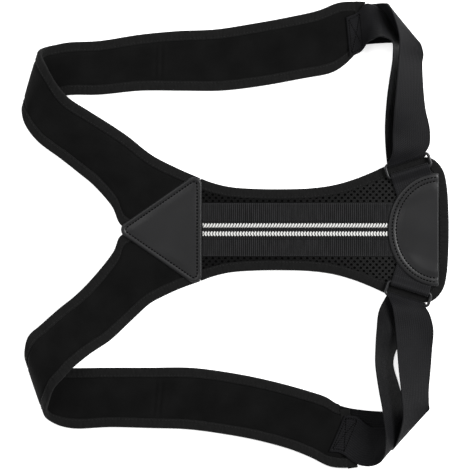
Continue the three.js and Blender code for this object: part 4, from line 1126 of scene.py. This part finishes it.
def side_webbing(side, sign, strap):
    """Sewn on the strap's end, round the ring's outer bar, and back to hook under the strap."""
    centre, along, out = ring_frame()
    bar = centre + out * RING_BAR
    half = WEBBING_WIDTH / 2
    thickness = WEBBING_THICKNESS
    back, beside, hook_aside = LEAVES_STRAP[side]
    run = np.array([back * FRONT_LENGTH - SHOULDER_REACH, beside * LOOP_SPAN, 0]) - bar
    run[2] = 0
    aside = unit(np.array([run[1], -run[0], 0.0]))

    def rung(row):
        share, beside, turn, rise, lift, stretch = row
        middle = bar + run * share + aside * beside * WEBBING_WIDTH
        middle[2] = lift * WEBBING_LIFT + thickness / 2
        return middle, direction(turn, -rise), half * stretch

    sewn = [rung(row) for row in SEWN_LAYER[side]][::-1]
    hooked = [rung(row) for row in HOOKED_LAYER[side]]
    sewn_z = strap.middle[-1][2] + PAD_THICKNESS / 2 + 2 * GAP + thickness / 2
    length, towards_spine, sewn_turn = SEWN_ON[side]
    on_strap = []
    for back in (length, length / 3):
        middle, across = rung_on_strap(strap, back, sewn_z, towards_spine, sewn[0][1])
        on_strap.append((middle, turned(across, sewn_turn), half))
    wrap = []
    for i in range(9):
        angle = math.pi * i / 8
        middle = bar - out * SIDE_WRAP * math.sin(angle)
        middle[2] = bar[2] - SIDE_WRAP * math.cos(angle)
        wrap.append((middle, along, half))
    inward = hook_aside * WEBBING_WIDTH
    under = [(*rung_on_strap(strap, back, thickness / 2, inward, hooked[-1][1]), half)
             for back in (HOOK_LENGTH / 10, HOOK_LENGTH / 2, HOOK_LENGTH)]
    rungs = on_strap + sewn + wrap + hooked + under
    band = rungs_to_band(*zip(*rungs), even=0.0016, flat=thickness / 2)
    edges = selvage(band, 0.002, 0.0001, 0.5)
    at_ring = band.run[np.argmin(np.linalg.norm(band.middle - (bar - out * SIDE_WRAP), axis=1))]
    name, node = f"side_webbing_band_{side}", f"side_webbing_{side}"
    piece = strip(name, band, sign, thickness, WEBBING, node, 28, edges, edges, at_ring)
    box_stitch(side, sign, band)


def box_stitch(side, sign, band):
    """A box and a cross of stitches where the webbing's end is sewn on the strap."""
    first, last = 0.0025, max(SEWN_ON[side][0] - 0.003, 0.0135)
    reach = WEBBING_WIDTH / 2 - 0.003
    corners = [(first, -reach), (last, -reach), (last, reach), (first, reach), (first, -reach)]
    cross = [[(first, -reach), (last, reach)], [(first, reach), (last, -reach)]]
    up = 1 if band.normal[2, 2] > 0 else -1
    lines = []
    for a, b in list(zip(corners[:-1], corners[1:])) + cross:
        t = np.linspace(0, 1, 20)
        points, normals = band.at(a[0] + (b[0] - a[0]) * t, a[1] + (b[1] - a[1]) * t,
                                  np.full(20, up * (WEBBING_THICKNESS / 2 + 0.0001)))
        lines.append((points, normals * up))
    stitches(f"side_webbing_stitches_{side}", lines, sign, THREAD, 0.0024, 0.0004)


def hook_tab(side, sign, strap):
    z = WEBBING_THICKNESS + GAP + HOOK_TAB_THICKNESS / 2
    across = strap.across[-1]
    backs = (TAPE_WIDTH, (TAPE_WIDTH + HOOK_TAB_LENGTH) / 2, HOOK_TAB_LENGTH)
    inward = LEAVES_STRAP[side][2] * WEBBING_WIDTH
    rungs = [(*rung_on_strap(strap, back, z, inward, across), WEBBING_WIDTH / 2) for back in backs]
    band = rungs_to_band(*zip(*rungs))
    name, node = f"hook_tape_{side}", f"hook_tab_{side}"
    piece = strip(name, band, sign, HOOK_TAB_THICKNESS, HOOK_TAPE, node)


def build_brace():
    back_panel()
    spacer_mesh()
    panel_tape()
    spine_webbing()
    shoulder_patch()
    lumbar_patch()
    for side, sign in (("right", 1), ("left", -1)):
        strap = strap_band(side)
        strap_pad(side, strap, sign)
        strap_tapes(side, strap, sign)
        stripe(side, sign)
        ring(side, sign)
        ring_tab(side, sign)
        side_webbing(side, sign, strap)
        hook_tab(side, sign, strap)


# Floor, lights and camera.
def studio():
    bpy.ops.object.select_all(action="DESELECT")
    bpy.ops.mesh.primitive_plane_add(size=6, location=(0, 0, 0))
    floor = bpy.context.object
    floor.name = "table"
    material, shader = new_material("pale_table", 0.9, 0.0, 0.1)
    shader.inputs["Base Color"].default_value = (0.92, 0.92, 0.92, 1)
    shader.inputs["Emission Color"].default_value = (1, 1, 1, 1)
    shader.inputs["Emission Strength"].default_value = 0.6
    floor.data.materials.append(material)
    world = bpy.data.worlds.new("studio")
    bpy.context.scene.world = world
    world.use_nodes = True
    world.node_tree.nodes["Background"].inputs[0].default_value = (1, 1, 1, 1)
    world.node_tree.nodes["Background"].inputs[1].default_value = 0.55
    for name, place, size, power in (
        ("key", (1.5, 0.5, 1.4), 1.0, 62),
        ("fill", (-0.9, 0.7, 1.7), 1.2, 18),
    ):
        light = bpy.data.lights.new(name, "AREA")
        light.size = size
        light.energy = power
        lamp = bpy.data.objects.new(name, light)
        bpy.context.scene.collection.objects.link(lamp)
        lamp.location = place
        aim = np.array(place) / np.linalg.norm(place)
        lamp.rotation_euler = (math.acos(aim[2]), 0, math.atan2(aim[1], aim[0]) + math.pi / 2)
    camera = bpy.data.cameras.new("camera")
    camera.lens = VIEW_LENS
    holder = bpy.data.objects.new("camera", camera)
    bpy.context.scene.collection.objects.link(holder)
    distance = VIEW_WIDTH * VIEW_LENS / camera.sensor_width
    holder.location = (*VIEW_CENTRE, distance + PAD_THICKNESS)
    bpy.context.scene.camera = holder
    bpy.context.scene.view_settings.view_transform = "Standard"


build_brace()
studio()
